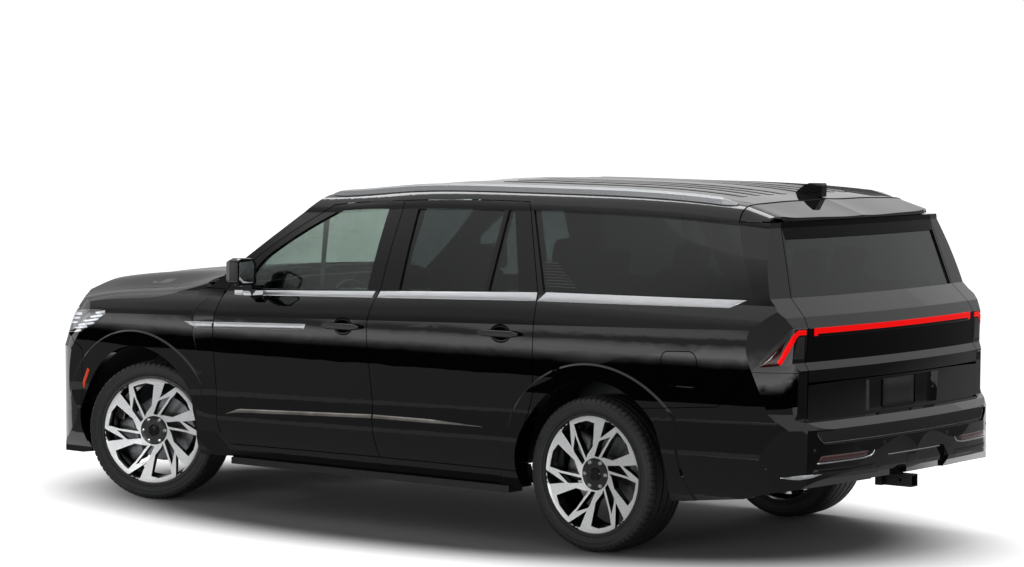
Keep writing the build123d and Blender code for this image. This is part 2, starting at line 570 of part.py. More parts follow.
def build_front():
    out = {}
    full, inner = front_body(0), front_body(40)
    plan = HOOD_REAR + [(2900, 848), (2900, -1)]
    hood = full & extrude_points(plan, "z", HOOD_NOSE_Z, 1500)
    out["hood"] = one(hood - front_body(34))
    side = outline_prism(FENDER_OUTLINE, 300, 1200) - arch_cut(FRONT_AXLE_X, ARCH_R, -10)
    side = side - block(1100, 3000, 0, HOOD_EDGE_Y + PANEL_GAP, 1000, 1600)
    out["front_fender"] = one((full & side) - inner)
    lamp = (full & extrude_points(grow(HEADLAMP_SIDE, -1.0), "y", 541, 1200)) - front_body(60)
    out["headlamp"] = one(lamp)
    face = full & extrude_points(FRONT_BUMPER_SIDE, "y", -1, 1200)
    face = (face - inner) - arch_cut(FRONT_AXLE_X, ARCH_R, -10)
    face = face - extrude_points(grow(GRILLE, SEAT_FIT), "x", 2300, 2900)
    out["front_bumper"] = one(face)
    opening = extrude_points([(y - (1 if y == 0 else 0), z) for y, z in GRILLE], "x", 2300, 2900)
    plate = (nose_volume(18) & opening) - nose_volume(52)
    bars = [block(2300, 2900, 14, 470, 560 + 54 * k, 590 + 54 * k) for k in range(9)]
    for bar in bars:
        plate = plate - bar
    out["grille"] = plate
    return out


FENDER_OUTLINE = [[(x + PANEL_GAP / 2, z) for x, z in FRONT_DOOR[0]],
                  [(1173 + PANEL_GAP / 2, 1254), (1336, 1254)], [(1336, 1254), (1342, 1400)],
                  [(1342, 1400), (2420, 1400)],
                  [(2420, 1400), (2420, 1086)], [(2420, 1086), (2230, 1086)], [(2230, 1086), (2382, 981)],
                  [(2382, 981), (2466, 924)], [(2466, 924), (2356, 857)], [(2356, 857), (2352, 300)],
                  [(2352, 300), (1130, 300)], [(1130, 300), (1150 + PANEL_GAP / 2, 378)]]


# ---- roof and fixed glass ----------------------------------------------
ROOF_EDGE_Y = 638.0
ROOF_GLASS = [(430, -1), (430, 440), (-360, 440), (-360, -1)]


def build_roof():
    out = {}
    zone = block(SPOILER_X + PANEL_GAP, 900, -0.0, ROOF_EDGE_Y, 1600, 2000) & screen_volume(0)
    roof = band(0, WALL_T, zone)
    roof = roof - extrude_points(ROOF_GLASS, "z", 1700, 2000)
    out["roof_panel"] = one(roof)
    pane = [(x + (0.4 if x < 0 else -0.4), y - 0.4 * (y > 0)) for x, y in ROOF_GLASS]
    out["roof_glass"] = band(3, 9, extrude_points(pane, "z", 1700, 2000))
    screen = screen_volume(4) & skin(WALL_T + SEAT_FIT) & block(0, 2000, 0, 1200, 1286, 2000)
    out["windscreen"] = one(screen - screen_volume(10))
    out["quarter_glass"] = glass_pane(QUARTER_WINDOW)
    strip = extrude_points(RAIL_PLAN, "z", 1600, 2000) & extrude_points(RAIL_RISE, "y", 600, 800)
    out["roof_rail"] = (skin(-RAIL_PROUD) & strip) - skin(-SEAT_FIT)
    return out


RAIL_PROUD = 24.0
RAIL_PLAN = [(-2196, 724), (-2110, 736), (470, 736), (562, 724), (562, 710), (470, 700), (-2110, 700), (-2196, 710)]
RAIL_RISE = [(-2196, 1700), (-2196, 1812), (-2070, 1847), (-1400, 2000), (0, 2000), (430, 1842), (562, 1806),
             (562, 1700)]
FIN_SIDE = [(-2040, -8), (-2052, 4), (-2084, 26), (-2130, 54), (-2160, 62), (-2232, 62), (-2240, 50), (-2236, -10)]
FIN_PLAN = [[(-2040, 0), (-2090, 13), (-2150, 21), (-2242, 23)], [(-2242, 23), (-2242, -23)],
            [(-2242, -23), (-2150, -21), (-2090, -13), (-2040, 0)]]


def antenna():
    """Blade aerial standing on the rear of the roof."""
    base = ROOF_Z - roof_drop(-2150)
    side = extrude_points([(x, base + z) for x, z in FIN_SIDE], "y", -30, 30)
    fin = side & outline_prism(FIN_PLAN, 1700, 2000, along="z")
    return one(fin - skin(-0.3) - mirrored(skin(-0.3)))


# ---- floor, bulkhead and wheel housings ---------------------------------
FLOOR_Z = 540.0
FLOOR_T = 25.0
HOUSE_R = 528.0
DECK = (-2590, -2240, 0, 560, FLOOR_Z + FLOOR_T - 5, FLOOR_Z + FLOOR_T + 8)     # load deck behind the third row


def wheel_house(x, y_in, cover):
    """Half drum over a wheel with its inboard wall."""
    drum = cylinder_y(x, AXLE_Z, HOUSE_R + 8, y_in, 1000) - cylinder_y(x, AXLE_Z, HOUSE_R, y_in + 8, 1000)
    return drum & block(x - 700, x + 700, 0, 1100, FLOOR_Z, 1100) & cover


def build_floor():
    inside = skin(RING_T + 0.3)
    wall = skin(WALL_T + 0.3) & block(-3000, -1150.3, 0, 1200, 0, 2000) & plan_prism(50)
    wall = wall + (inside & block(-1150.5, 3000, 0, 1200, 0, 2000))
    slab = inside & block(-1330, 1230, -0.0, 1100, FLOOR_Z, FLOOR_Z + FLOOR_T)
    tail = wall & block(-2600, -1329, -0.0, 1100, FLOOR_Z, FLOOR_Z + FLOOR_T)
    slab = slab + tail - cylinder_y(REAR_AXLE_X, AXLE_Z, HOUSE_R + 4, 600, 1100)
    slab = slab + wheel_house(REAR_AXLE_X, 600, wall) + (wall & block(*DECK))
    bulkhead = inside & block(1205, 1230, -0.0, 1100, FLOOR_Z, 1284)
    return slab + bulkhead


def build_engine_bay():
    """Front wheel housings, cowl tray and radiator carrier."""
    liner = wheel_house(FRONT_AXLE_X, 470, skin(40.3) & front_plan(45))
    liner = liner & block(FRONT_AXLE_X - 620, FRONT_AXLE_X + 620, 0, 1100, FLOOR_Z, 1100)
    liner = liner - block(FRONT_AXLE_X - 115, FRONT_AXLE_X + 115, 400, 600, 500, 640)
    apron = block(1232, 2500, 440, 478, 620, 900)
    carrier = block(2440, 2500, -0.0, 700, FLOOR_Z, 1040) - block(2400, 2600, -0.0, 420, 600, 960)
    stops = front_body(34.3) & block(2455, 2485, 300, 330, 1039, 1300)
    cowl = block(1231, 1420, -0.0, 800, 1150, 1180) & skin(60)
    return liner + apron + carrier + cowl + stops


# ---- chassis ------------------------------------------------------------
RAIL_SIDE = [(2640, 539.7), (-RAIL_END, 539.7), (-RAIL_END, 440), (-900, 440), (-700, 380), (1100, 380),
             (1300, 440), (2640, 440)]


def build_frame():
    rail = extrude_points(RAIL_SIDE, "y", RAIL_Y0, RAIL_Y1)
    cross = [block(x, x + 70, -0.0, RAIL_Y0 + 1, 497.3, 535) for x in (2560, -1200, -1850, -2640)]
    cross += [block(x, x + 80, -0.0, RAIL_Y0 + 1, 345, 395) for x in (380, -640)]
    for c in cross:
        rail = rail + c
    return rail


def add_receiver(frame):
    """Square tow receiver hung from the rear cross member."""
    h, b = RECEIVER / 2, RECEIVER_BORE / 2
    hanger = block(-2640, -2600, -60, 60, RECEIVER_Z - h, 500)
    frame = frame + hanger + block(-2800, -2600, -h, h, RECEIVER_Z - h, RECEIVER_Z + h)
    frame = frame - block(-2810, -2660, -b, b, RECEIVER_Z - b, RECEIVER_Z + b)
    return frame - cylinder_y(-2735, RECEIVER_Z, PIN_R, -h - 5, h + 5)


def build_suspension():
    """Left-hand front and rear arms, fixed at ride height."""
    ax, rx = FRONT_AXLE_X, REAR_AXLE_X
    y0 = RAIL_Y1 + 0.3
    lower = extrude_points([(ax - 170, y0), (ax + 170, y0), (ax + 40, 765), (ax - 40, 765)], "z", 230, 262)
    lower = lower + block(ax - 170, ax + 170, y0, RAIL_Y1 + 40, 230, 500)
    upper = extrude_points([(ax - 110, y0), (ax + 110, y0), (ax + 34, 760), (ax - 34, 760)], "z", 575, 600)
    upper = upper + block(ax - 80, ax + 80, y0, RAIL_Y1 + 24, 480, 599)
    rear = block(rx - 60, rx + 60, y0, 765, 230, 262)
    for a in (-60, 32):
        rear = rear + block(rx + a, rx + a + 28, y0, RAIL_Y1 + 40, 235, 535)
    rear = rear + block(rx - 60, rx + 60, y0, RAIL_Y1 + 40, 505, 535)
    rear = rear + block(rx - 32, rx + 32, RAIL_Y1 + 39, KINGPIN_Y - 30.3, 505, 535)
    return lower + upper, rear


HUB_R = 30.0
HUB_CLEAR = 0.05


def knuckle(x, y_post):
    """Upright with its stub axle, wheel straight ahead."""
    post = block(x - 42, x + 42, y_post - 30, y_post + 30, 262.3, 574.7)
    stub = cylinder_y(x, AXLE_Z, HUB_R, y_post + 29, WHEEL_Y + 20)
    return post + stub


# ---- wheels -------------------------------------------------------------
def revolve_y(points, x, y, closed=True):
    """Ring from (y, r) points turned about the wheel axis."""
    face = Face(Wire.make_polygon([(x, y + a, AXLE_Z + r) for a, r in points], close=closed))
    return Solid.revolve(face, 360, Axis((x, y, AXLE_Z), (0, 1, 0)))


def build_tyre(x, y):
    w = TYRE_W / 2
    out = [(-121.6, 312), (-121.6, 321.6), (-136, 323), (-w, 348), (-w + 2, 372), (-w + 14, 393),
           (-w + 34, 401), (-60, 404), (0, TYRE_R)]
    out = out + [(-a, r) for a, r in out[:-1][::-1]]
    ins = [(104, 312), (112, 334), (124, 362), (112, 382), (0, 389)]
    ins = ins + [(-a, r) for a, r in ins[:-1][::-1]]
    return revolve_y(out + ins, x, y)


def turned(points, angle):
    c, s = math.cos(math.radians(angle)), math.sin(math.radians(angle))
    return [(a * c - b * s, a * s + b * c) for a, b in points]


def build_wheel(x, y):
    """Rim barrel, looped spokes, hub and brake disc of a left wheel."""
    barrel = [(-134, 304), (-134, 321), (-126, 321), (-122, 311.6), (-100, 311.6), (-70, 290), (60, 290),
              (92, 311.6), (122, 311.6), (126, 321), (134, 321), (134, 306), (112, 298), (84, 296), (56, 278),
              (-72, 278), (-100, 300)]
    rim = revolve_y(barrel, x, y)
    dish = [(58, 40), (96, 60), (104, 120), (122, 290), (126, 306), (98, 306), (84, 250), (58, 120), (40, 60)]
    disc = revolve_y(dish, x, y)
    for k in range(SPOKES):
        for pocket in spoke_pockets():
            pts = [(x + a, AXLE_Z + b) for a, b in turned(pocket, 360.0 / SPOKES * k)]
            disc = disc - extrude_points(pts, "y", y + 20, y + 160)
    bore = HUB_R + HUB_CLEAR
    hub = [(-60, bore), (40, bore), (40, 0.0), (98, 0.0), (98, 66), (60, 80), (-40, 80), (-40, 190), (-60, 190)]
    return rim + disc + revolve_y(hub, x, y)


def spoke_pockets():
    """Openings of one spoke pitch: the loop, the slot behind its inner leg, and the gap to the next."""
    loop = [(-10, 268), (10, 144), (49, 96), (56, 78), (104, 188), (111, 216), (122, 252), (92, 264), (40, 277)]
    slot = [(66, 64), (83, 44), (131, 110), (134, 124), (119, 198), (113, 180)]
    gap = [(149, 260), (144, 134), (203, 210), (186, 234)]
    return loop, slot, gap


# ---- cabin --------------------------------------------------------------
DASH = [(1204, 900), (1204, 1200), (1060, 1222), (880, 1180), (820, 1060), (880, 960), (960, 900)]
WHEEL_TILT = 24.0
STEERING_X, STEERING_Y, STEERING_Z = 640.0, 430.0, 1120.0


def build_dash():
    dash = extrude_points(DASH, "y", -1100, 1100)
    inside = skin(RING_T + 0.3)
    dash = dash & (inside + mirror(inside, Plane.XZ))
    z0 = FLOOR_Z + FLOOR_T + 0.3
    console = block(-20, 900, -140, 140, z0, 900) + block(860, 1000, -140, 140, 880, 1000)
    legs = block(1100, 1204, -700, -600, z0, 910) + block(1100, 1204, 600, 700, z0, 910)
    at_wheel = Pos(STEERING_X, STEERING_Y, STEERING_Z) * Rot(0, 90 + WHEEL_TILT, 0)
    column = at_wheel * Pos(0, 0, 200 + 25.3) * Cylinder(38, 400)
    return dash + console + legs + column


def build_steering_wheel():
    ring = Torus(185, 15)
    hub = Pos(0, 0, 2) * Cylinder(52, 46)
    bars = Box(356, 34, 14) + Pos(-90, 0, 0) * Box(180, 60, 14)
    return Pos(STEERING_X, STEERING_Y, STEERING_Z) * Rot(0, 90 + WHEEL_TILT, 0) * (ring + hub + Rot(0, 0, 90) * bars)


def seat_solid(x, y0, y1, z=0.0, rests=1):
    base = block(x - 60, x + 440, y0 + 30, y1 - 30, FLOOR_Z + FLOOR_T + 0.3, 720 + z)
    cushion = fillet_all(block(x - 60, x + 500, y0, y1, 700 + z, 850 + z), 34)
    back = fillet_all(Pos(0, (y0 + y1) / 2, 320) * Box(130, y1 - y0, 680), 34)
    back = Pos(x - 60, 0, 760 + z) * Rot(0, -14, 0) * back
    whole = base + cushion + back
    pitch = (y1 - y0) / rests
    for k in range(rests):
        rest = fillet_all(Pos(-8, y0 + pitch * (k + 0.5), 720) * Box(90, min(260, pitch * 0.6), 150), 30)
        whole = whole + Pos(x - 60, 0, 760 + z) * Rot(0, -14, 0) * rest
    return one(whole)


def build_running_gear():
    """Engine, drive line, tank, exhaust and running boards."""
    put("engine", block(1500, 2250, -364.7, 364.7, 460, 1120))
    drive = block(560, 1499.7, -170, 170, 300, 530) + Pos(-370, 0, 440) * Rot(0, 90, 0) * Cylinder(38, 1900)
    drive = drive + block(REAR_AXLE_X - 150, REAR_AXLE_X + 160, -150, 150, 300, 500)
    shafts = cylinder_y(REAR_AXLE_X, AXLE_Z, 22, 140, KINGPIN_Y - 30.3)
    put("driveline", one(drive + shafts + mirrored(shafts)))
    put("fuel_tank", block(-520, 300, 70, 364.7, 330, 530))
    silencer = fillet_all(block(-2450, -2000, -300, 300, 370, 490), 45)
    pipe = Pos(-1250, -250, 465) * Rot(0, 90, 0) * Cylinder(32, 1600)
    put("exhaust", silencer + pipe)
    put("running_boards", pair(block(-900, 1140, 850, 965, 262, SILL_BOTTOM - 0.3)))


def fillet_all(shape, r):
    return fillet(shape.edges(), r)


# ---- write out ----------------------------------------------------------
def mirrored(shape):
    return mirror(shape, Plane.XZ)


def whole(shape):
    """Join a half with its mirror image."""
    return shape + mirrored(shape)


def pair(shape):
    """Left and right copies that stay apart."""
    return Compound(children=list(shape.solids()) + list(mirrored(shape).solids()))


def steer(shape, y):
    return Pos(FRONT_AXLE_X, y, 0) * Rot(0, 0, STEER_REST) * Pos(-FRONT_AXLE_X, -y, 0) * shape


MIRROR_OUTLINE = [(1034, 1294), (1166, 1291), (1191, 1314), (1189, 1438), (1158, 1451), (1062, 1446),
                  (1031, 1416)]
MIRROR_MID = (1100.0, 1366.0)


def mirror_head():
    """Housing, full size at the glass and drawn in towards the front, on its arm."""
    wires = []
    for x, k in ((867, 0.95), (885, 1.0), (930, 0.97), (965, 0.84), (988, 0.58)):
        ym, zm = MIRROR_MID
        pts = [(x, ym + k * (y - ym), zm + k * (z - zm)) for y, z in MIRROR_OUTLINE]
        face = Face(Wire.make_polygon(pts, close=True))
        wires.append(face.fillet_2d(17 * k, face.vertices()).outer_wire())
    head = Solid.make_loft(wires, ruled=True)
    return one(head + block(905, 966, 1012, 1060, 1290.3, 1334))


def main():
    doors = build_doors()
    foot = block(904, 974, 925, 1036, 1232, 1290) - skin(9)
    doors["front_door"] = one(doors["front_door"] + foot)
    for name, shape in doors.items():
        put(name + "_left", shape)
        put(name + "_right", mirrored(shape))
    side, pocket = build_side(rear_cutter(), screen_volume(0))
    put("body_side_left", one(side - pocket))
    put("body_side_right", mirrored(side))
    tab = band(17, 41.7, block(-1966, -1946, 900, 1200, 950, 1000))
    flap = extrude_points(grow(FUEL_DOOR, -PANEL_GAP / 2), "y", 900, 1200, FUEL_DOOR_CORNER - PANEL_GAP)
    put("fuel_door", one(band(0, 18, flap) + tab))
    rear = build_rear()
    for name in ("light_bar", "liftgate", "liftgate_glass", "lower_tailgate", "rear_spoiler", "rear_bumper"):
        put(name, one(whole(rear[name])))
    holes = [Pos(PLATE_FLOOR_X, y, PLATE_HOLE_Z) * Rot(0, 90, 0) * Cylinder(PLATE_HOLE_R, 60)
             for y in (-PLATE_PITCH / 2, PLATE_PITCH / 2)]
    parts["lower_tailgate"] = parts["lower_tailgate"] - holes[0] - holes[1]
    put("tail_lamps", pair(rear["tail_lamp"]))
    front = build_front()
    for name in ("hood", "front_bumper", "grille"):
        put(name, one(whole(front[name])))
    put("front_fender_left", front["front_fender"])
    put("front_fender_right", mirrored(front["front_fender"]))
    put("headlamps", pair(front["headlamp"]))
    roof = build_roof()
    put("roof_panel", one(whole(roof["roof_panel"])))
    glass = [one(whole(roof["roof_glass"])), one(whole(roof["windscreen"]))] + list(pair(roof["quarter_glass"]).solids())
    put("fixed_glass", Compound(children=glass))
    put("roof_rails", pair(roof["roof_rail"]))
    put("antenna_fin", antenna())
    put("floor_pan", one(whole(build_floor())))
    put("engine_bay", one(whole(build_engine_bay())))
    put("frame_rails", one(add_receiver(whole(build_frame()))))
    front_arms, rear_arms = build_suspension()
    arms = list(pair(front_arms).solids()) + list(pair(rear_arms).solids())
    put("suspension_arms", Compound(children=arms))
    put("rear_knuckles", pair(knuckle(REAR_AXLE_X, KINGPIN_Y)))
    steered = steer(knuckle(FRONT_AXLE_X, KINGPIN_Y), KINGPIN_Y)
    put("front_knuckle_left", steered)
    put("front_knuckle_right", steer(mirrored(knuckle(FRONT_AXLE_X, KINGPIN_Y)), -KINGPIN_Y))
    for kind, build in (("tyre", build_tyre), ("wheel", build_wheel)):
        shape = build(FRONT_AXLE_X, WHEEL_Y)
        put("front_" + kind + "_left", steer(shape, KINGPIN_Y))
        put("front_" + kind + "_right", steer(mirrored(shape), -KINGPIN_Y))
        back = Pos(-WHEELBASE, 0, 0) * shape
        put("rear_" + kind + "_left", back)
        put("rear_" + kind + "_right", mirrored(back))
    head = mirror_head()
    put("mirror_left", head)
    put("mirror_right", mirrored(head))
    put("dashboard", one(build_dash()))
    put("steering_wheel", one(build_steering_wheel()))
    left = seat_solid(20, 170, 690)
    second = seat_solid(-880, 150, 588)
    for name, shape in (("front_seat", left), ("second_row_seat", second)):
        put(name + "_left", shape)
        put(name + "_right", mirrored(shape))
    put("third_row_bench", seat_solid(-1900, -570, 570, 20, 3))
    build_running_gear()
    for name, shape in sorted(parts.items()):
        export_step(shape, "parts/" + name + ".step")


main()
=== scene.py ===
"""Full-size SUV: finishes, trim, lamps, tyres, seats and stage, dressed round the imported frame.

Frame: +X forward, +Y to the vehicle's left, +Z up, metres. Sizes written in millimetres pass
through MM.
"""
import json
import math

import bmesh
import bpy
from bpy.props import FloatProperty, FloatVectorProperty, IntProperty, PointerProperty
from mathutils import Matrix, Vector
from mathutils.bvhtree import BVHTree


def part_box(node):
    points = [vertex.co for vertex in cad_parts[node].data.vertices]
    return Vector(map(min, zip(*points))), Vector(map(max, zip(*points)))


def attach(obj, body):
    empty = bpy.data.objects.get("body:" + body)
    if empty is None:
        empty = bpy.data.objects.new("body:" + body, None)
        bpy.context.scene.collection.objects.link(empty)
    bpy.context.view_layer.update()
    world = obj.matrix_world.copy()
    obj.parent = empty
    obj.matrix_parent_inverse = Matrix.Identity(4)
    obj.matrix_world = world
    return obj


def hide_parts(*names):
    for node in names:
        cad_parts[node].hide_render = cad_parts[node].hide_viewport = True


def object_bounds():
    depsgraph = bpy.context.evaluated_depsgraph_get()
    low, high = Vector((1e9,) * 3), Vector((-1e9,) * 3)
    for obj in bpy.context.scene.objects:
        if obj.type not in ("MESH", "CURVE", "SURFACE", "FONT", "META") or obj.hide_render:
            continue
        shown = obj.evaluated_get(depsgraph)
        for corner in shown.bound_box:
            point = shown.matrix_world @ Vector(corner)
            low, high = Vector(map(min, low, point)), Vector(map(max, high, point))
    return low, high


bl_info = {
    "name": "Full-size SUV dresser",
    "version": (1, 0, 0),
    "blender": (4, 5, 0),
    "location": "View3D > Sidebar > SUV",
    "description": "Finishes, trim, lamps, tyres and seats for a full-size SUV",
    "category": "Object",
}

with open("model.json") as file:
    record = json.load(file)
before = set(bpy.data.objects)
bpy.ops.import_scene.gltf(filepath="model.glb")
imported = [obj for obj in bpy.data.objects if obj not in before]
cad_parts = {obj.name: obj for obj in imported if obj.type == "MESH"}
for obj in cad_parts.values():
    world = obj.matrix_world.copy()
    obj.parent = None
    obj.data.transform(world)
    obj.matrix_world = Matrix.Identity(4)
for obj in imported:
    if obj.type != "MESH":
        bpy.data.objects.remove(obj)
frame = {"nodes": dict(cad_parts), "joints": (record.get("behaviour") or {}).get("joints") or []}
NODES = frame["nodes"]
CAD_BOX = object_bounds()
JOINTS = {joint["name"]: joint for joint in frame["joints"]}
MM = 0.001
SIDES = {"left": 1.0, "right": -1.0}


# ---- colours and nodes ----------------------------------------------------
def linear(text):
    """Linear RGBA of an sRGB hex colour."""
    channels = [int(text[i:i + 2], 16) / 255 for i in (1, 3, 5)]
    return [c / 12.92 if c <= 0.04045 else ((c + 0.055) / 1.055) ** 2.4 for c in channels] + [1.0]


def node(tree, kind, inputs=None, **settings):
    """Adds a node with its settings; each input takes a value or an output to link."""
    made = tree.nodes.new(kind)
    for key, value in settings.items():
        setattr(made, key, value)
    for key, value in (inputs or {}).items():
        if isinstance(value, bpy.types.NodeSocket):
            tree.links.new(value, made.inputs[key])
        else:
            made.inputs[key].default_value = value
    return made


def start(name, colour, roughness, **sockets):
    """A new material; its shader's own sockets take these values."""
    material = bpy.data.materials.new(name)
    material.use_nodes = True
    tree = material.node_tree
    shader = tree.nodes["Principled BSDF"]
    shader.inputs["Base Color"].default_value = linear(colour)
    shader.inputs["Roughness"].default_value = roughness
    for key, value in sockets.items():
        shader.inputs[key.replace("_", " ")].default_value = value
    material.diffuse_color = linear(colour)
    return material, tree, shader


def place(tree, size_mm, stretch=(1, 1, 1)):
    """Object coordinates divided by a pattern's real size."""
    spot = node(tree, "ShaderNodeTexCoord")
    scale = [1.0 / (size_mm * MM * k) for k in stretch]
    return node(tree, "ShaderNodeMapping", {"Vector": spot.outputs["Object"],
                                            "Scale": scale}).outputs["Vector"]


def tones(tree, shader, dark, light, size_mm, stretch=(1, 1, 1)):
    """Base colour that drifts between two tones over patches of this size."""
    cloud = node(tree, "ShaderNodeTexNoise",
                 {"Vector": place(tree, size_mm, stretch), "Scale": 1.0, "Detail": 3.0})
    ramp = node(tree, "ShaderNodeMapRange", {"Value": cloud.outputs["Fac"], "From Min": 0.35,
                                             "From Max": 0.65})
    mix = node(tree, "ShaderNodeMix", {0: ramp.outputs["Result"], 6: linear(dark),
                                       7: linear(light)}, data_type="RGBA")
    tree.links.new(mix.outputs[2], shader.inputs["Base Color"])


def sheen_drift(tree, shader, low, high, size_mm):
    """Roughness that drifts between two values over patches of this size."""
    cloud = node(tree, "ShaderNodeTexNoise",
                 {"Vector": place(tree, size_mm), "Scale": 1.0, "Detail": 2.0})
    ramp = node(tree, "ShaderNodeMapRange", {"Value": cloud.outputs["Fac"], "From Min": 0.3,
                                             "From Max": 0.7, "To Min": low, "To Max": high})
    tree.links.new(ramp.outputs["Result"], shader.inputs["Roughness"])


def grain(tree, shader, size_mm, depth_mm, stretch=(1, 1, 1), cells=False):
    """Surface relief of this grain size and depth."""
    kind = "ShaderNodeTexVoronoi" if cells else "ShaderNodeTexNoise"
    field = node(tree, kind, {"Vector": place(tree, size_mm, stretch), "Scale": 1.0})
    height = field.outputs["Distance" if cells else "Fac"]
    bump = node(tree, "ShaderNodeBump", {"Height": height, "Distance": depth_mm * MM,
                                         "Strength": 1.0})
    tree.links.new(bump.outputs["Normal"], shader.inputs["Normal"])


def layered(name, colour, roughness, tone=(), drift=(), pebble=(), cells=False, glow=None,
            **sockets):
    """A material with drifting tones (dark, light, mm), drifting roughness (low, high, mm), relief
    (mm, depth in mm) and a glow, where they are given."""
    material, tree, shader = start(name, colour, roughness, **sockets)
    if tone:
        tones(tree, shader, *tone)
    if drift:
        sheen_drift(tree, shader, *drift)
    if pebble:
        grain(tree, shader, *pebble, cells=cells)
    if glow:
        shader.inputs["Emission Color"].default_value = linear(glow)
    return material


# ---- finishes -------------------------------------------------------------
def clear_coated_black_paint():
    """Sprayed black basecoat under polished clear lacquer: near black with a hard, deep gloss."""
    # mica flake, drawn coarser than its 0.05 mm
    return layered("clear_coated_black_paint", "#040405", 0.4, Coat_Weight=1.0, Coat_Roughness=0.02,
                   Coat_IOR=1.5, Specular_IOR_Level=0.0, tone=("#030304", "#08090b", 2.5))


def polished_black_asa():
    """Moulded black ASA polished in its tool: piano-black pillar trims and caps."""
    return layered("polished_black_asa", "#040404", 0.05, IOR=1.49, drift=(0.03, 0.07, 40.0))


def grained_black_polypropylene():
    """Moulded polypropylene with an etched grain: soft, greyish black."""
    # etched pebble of about 1 mm, drawn at 2
    return layered("grained_black_polypropylene", "#121314", 0.55, IOR=1.49,
                   tone=("#0e0f10", "#17181a", 60.0), pebble=(2.0, 0.12), cells=True)


def back_painted_acrylic():
    """Clear acrylic band painted black behind: the tail's deepest black, hardly a reflection."""
    return layered("back_painted_acrylic", "#020202", 0.35, Specular_IOR_Level=0.08,
                   tone=("#010101", "#030303", 60.0))


def e_coated_steel():
    """Pressed steel in black electro-coat: even, slightly dusty satin."""
    return layered("e_coated_pressed_steel", "#141618", 0.42, IOR=1.5,
                   tone=("#0f1113", "#1b1e21", 90.0), pebble=(6.0, 0.06))


def privacy_glass():
    """Body-tinted tempered glass: deep grey with a clean reflection."""
    return layered("privacy_tinted_tempered_glass", "#42494a", 0.0, IOR=1.52,
                   Transmission_Weight=1.0, tone=("#3f4647", "#454c4d", 300.0))


def green_tint_glass():
    """Laminated glass with the usual light green body tint."""
    return layered("green_tinted_laminated_glass", "#b4c2bb", 0.0, IOR=1.52,
                   Transmission_Weight=1.0, tone=("#b0beb7", "#b8c6bf", 300.0))


def satin_aluminium():
    """Extruded aluminium, brushed and anodised: even silver with a faint grain along its length."""
    return layered("satin_anodised_aluminium", "#c8cacc", 0.3, Metallic=1.0,
                   tone=("#bfc1c4", "#d0d2d4", 3.0, (40, 1, 1)), pebble=(1.2, 0.01, (60, 1, 1)))


def blasted_aluminium():
    """Extruded rail, bead-blasted and anodised: a darker, softer silver than the strips."""
    return layered("bead_blasted_anodised_aluminium", "#8b8d8f", 0.42, Metallic=1.0,
                   tone=("#858789", "#919395", 6.0))


def chrome_plate():
    """Bright chrome over nickel on moulded or steel parts: a dark and light mirror."""
    return layered("bright_chrome_plate", "#d6d8da", 0.06, Metallic=1.0, drift=(0.04, 0.10, 20.0))


def smoked_lens():
    """Moulded polycarbonate under a hard coat over a black housing: dark and wet-looking."""
    return layered("smoked_polycarbonate_lens", "#0c0d0f", 0.08, IOR=1.58, Coat_Weight=1.0,
                   Coat_Roughness=0.01, tone=("#08090a", "#16181b", 18.0, (1, 6, 1)))


def satin_black_bezel():
    """Satin black lamp housing seen through its cover: dark grey and faintly shiny."""
    return layered("satin_black_polycarbonate", "#1c1c1d", 0.35, IOR=1.58,
                   tone=("#181819", "#202021", 20.0))


def red_lens():
    """Moulded red acrylic over a black housing: dark ruby until it is lit."""
    return layered("red_moulded_acrylic", "#400103", 0.08, IOR=1.49,
                   tone=("#340102", "#4c0204", 9.0))


def smoked_ruby_lens():
    """Smoked polycarbonate lamp cover: almost black, with a trace of the ruby behind it."""
    return layered("smoked_ruby_polycarbonate", "#10090a", 0.05, IOR=1.58,
                   tone=("#0b0708", "#170b0c", 30.0))


def fired_ceramic_print():
    """Grey enamel fired onto glass: flat and dull beside the glass's own shine."""
    return layered("fired_ceramic_enamel", "#2c2e2f", 0.5, tone=("#282a2b", "#303233", 12.0))


def lamp_bezel_under_lens():
    """Vapour-coated grey bezel behind clear polycarbonate: dull metal under a hard clear shine."""
    return layered("vapour_coated_bezel", "#6c6e70", 0.3, Metallic=0.6, Coat_Weight=1.0,
                   Coat_Roughness=0.03, Coat_IOR=1.58, tone=("#626466", "#767a7c", 60.0))


def dimming_mirror_glass():
    """Electrochromic mirror glass, part dimmed: a grey, slightly soft mirror."""
    return layered("electrochromic_mirror_glass", "#c0c4c6", 0.05, Metallic=1.0,
                   tone=("#bcc0c2", "#c4c8ca", 200.0))


def lit_red_guide():
    """Red light guide, lit: an even glow with no hot spots."""
    return layered("lit_red_light_guide", "#c00002", 0.3, IOR=1.49, Specular_IOR_Level=0.15,
                   Emission_Strength=0.8, glow="#f80202", tone=("#b00002", "#c80204", 12.0))


def lit_white_guide():
    """Clear light guide over silvered reflectors: bright, slightly cool streaks."""
    return layered("silvered_light_guide", "#e6eaee", 0.16, Metallic=0.6, Emission_Strength=0.25,
                   glow="#f2f6ff", tone=("#d8dde2", "#f2f4f6", 9.0))


def amber_lens():
    """Moulded amber-red acrylic side marker, lit low."""
    return layered("amber_red_marker_lens", "#c2330c", 0.15, IOR=1.49, Emission_Strength=0.3,
                   glow="#ff4a1c", tone=("#a82808", "#d8420f", 6.0))


def red_reflector():
    """Prismatic red reflector: dull ruby with fine facets."""
    return layered("prismatic_red_reflector", "#5a0a0c", 0.25, IOR=1.49, Coat_Weight=1.0,
                   tone=("#4a0608", "#7a1214", 5.0), pebble=(4.0, 0.3), cells=True)


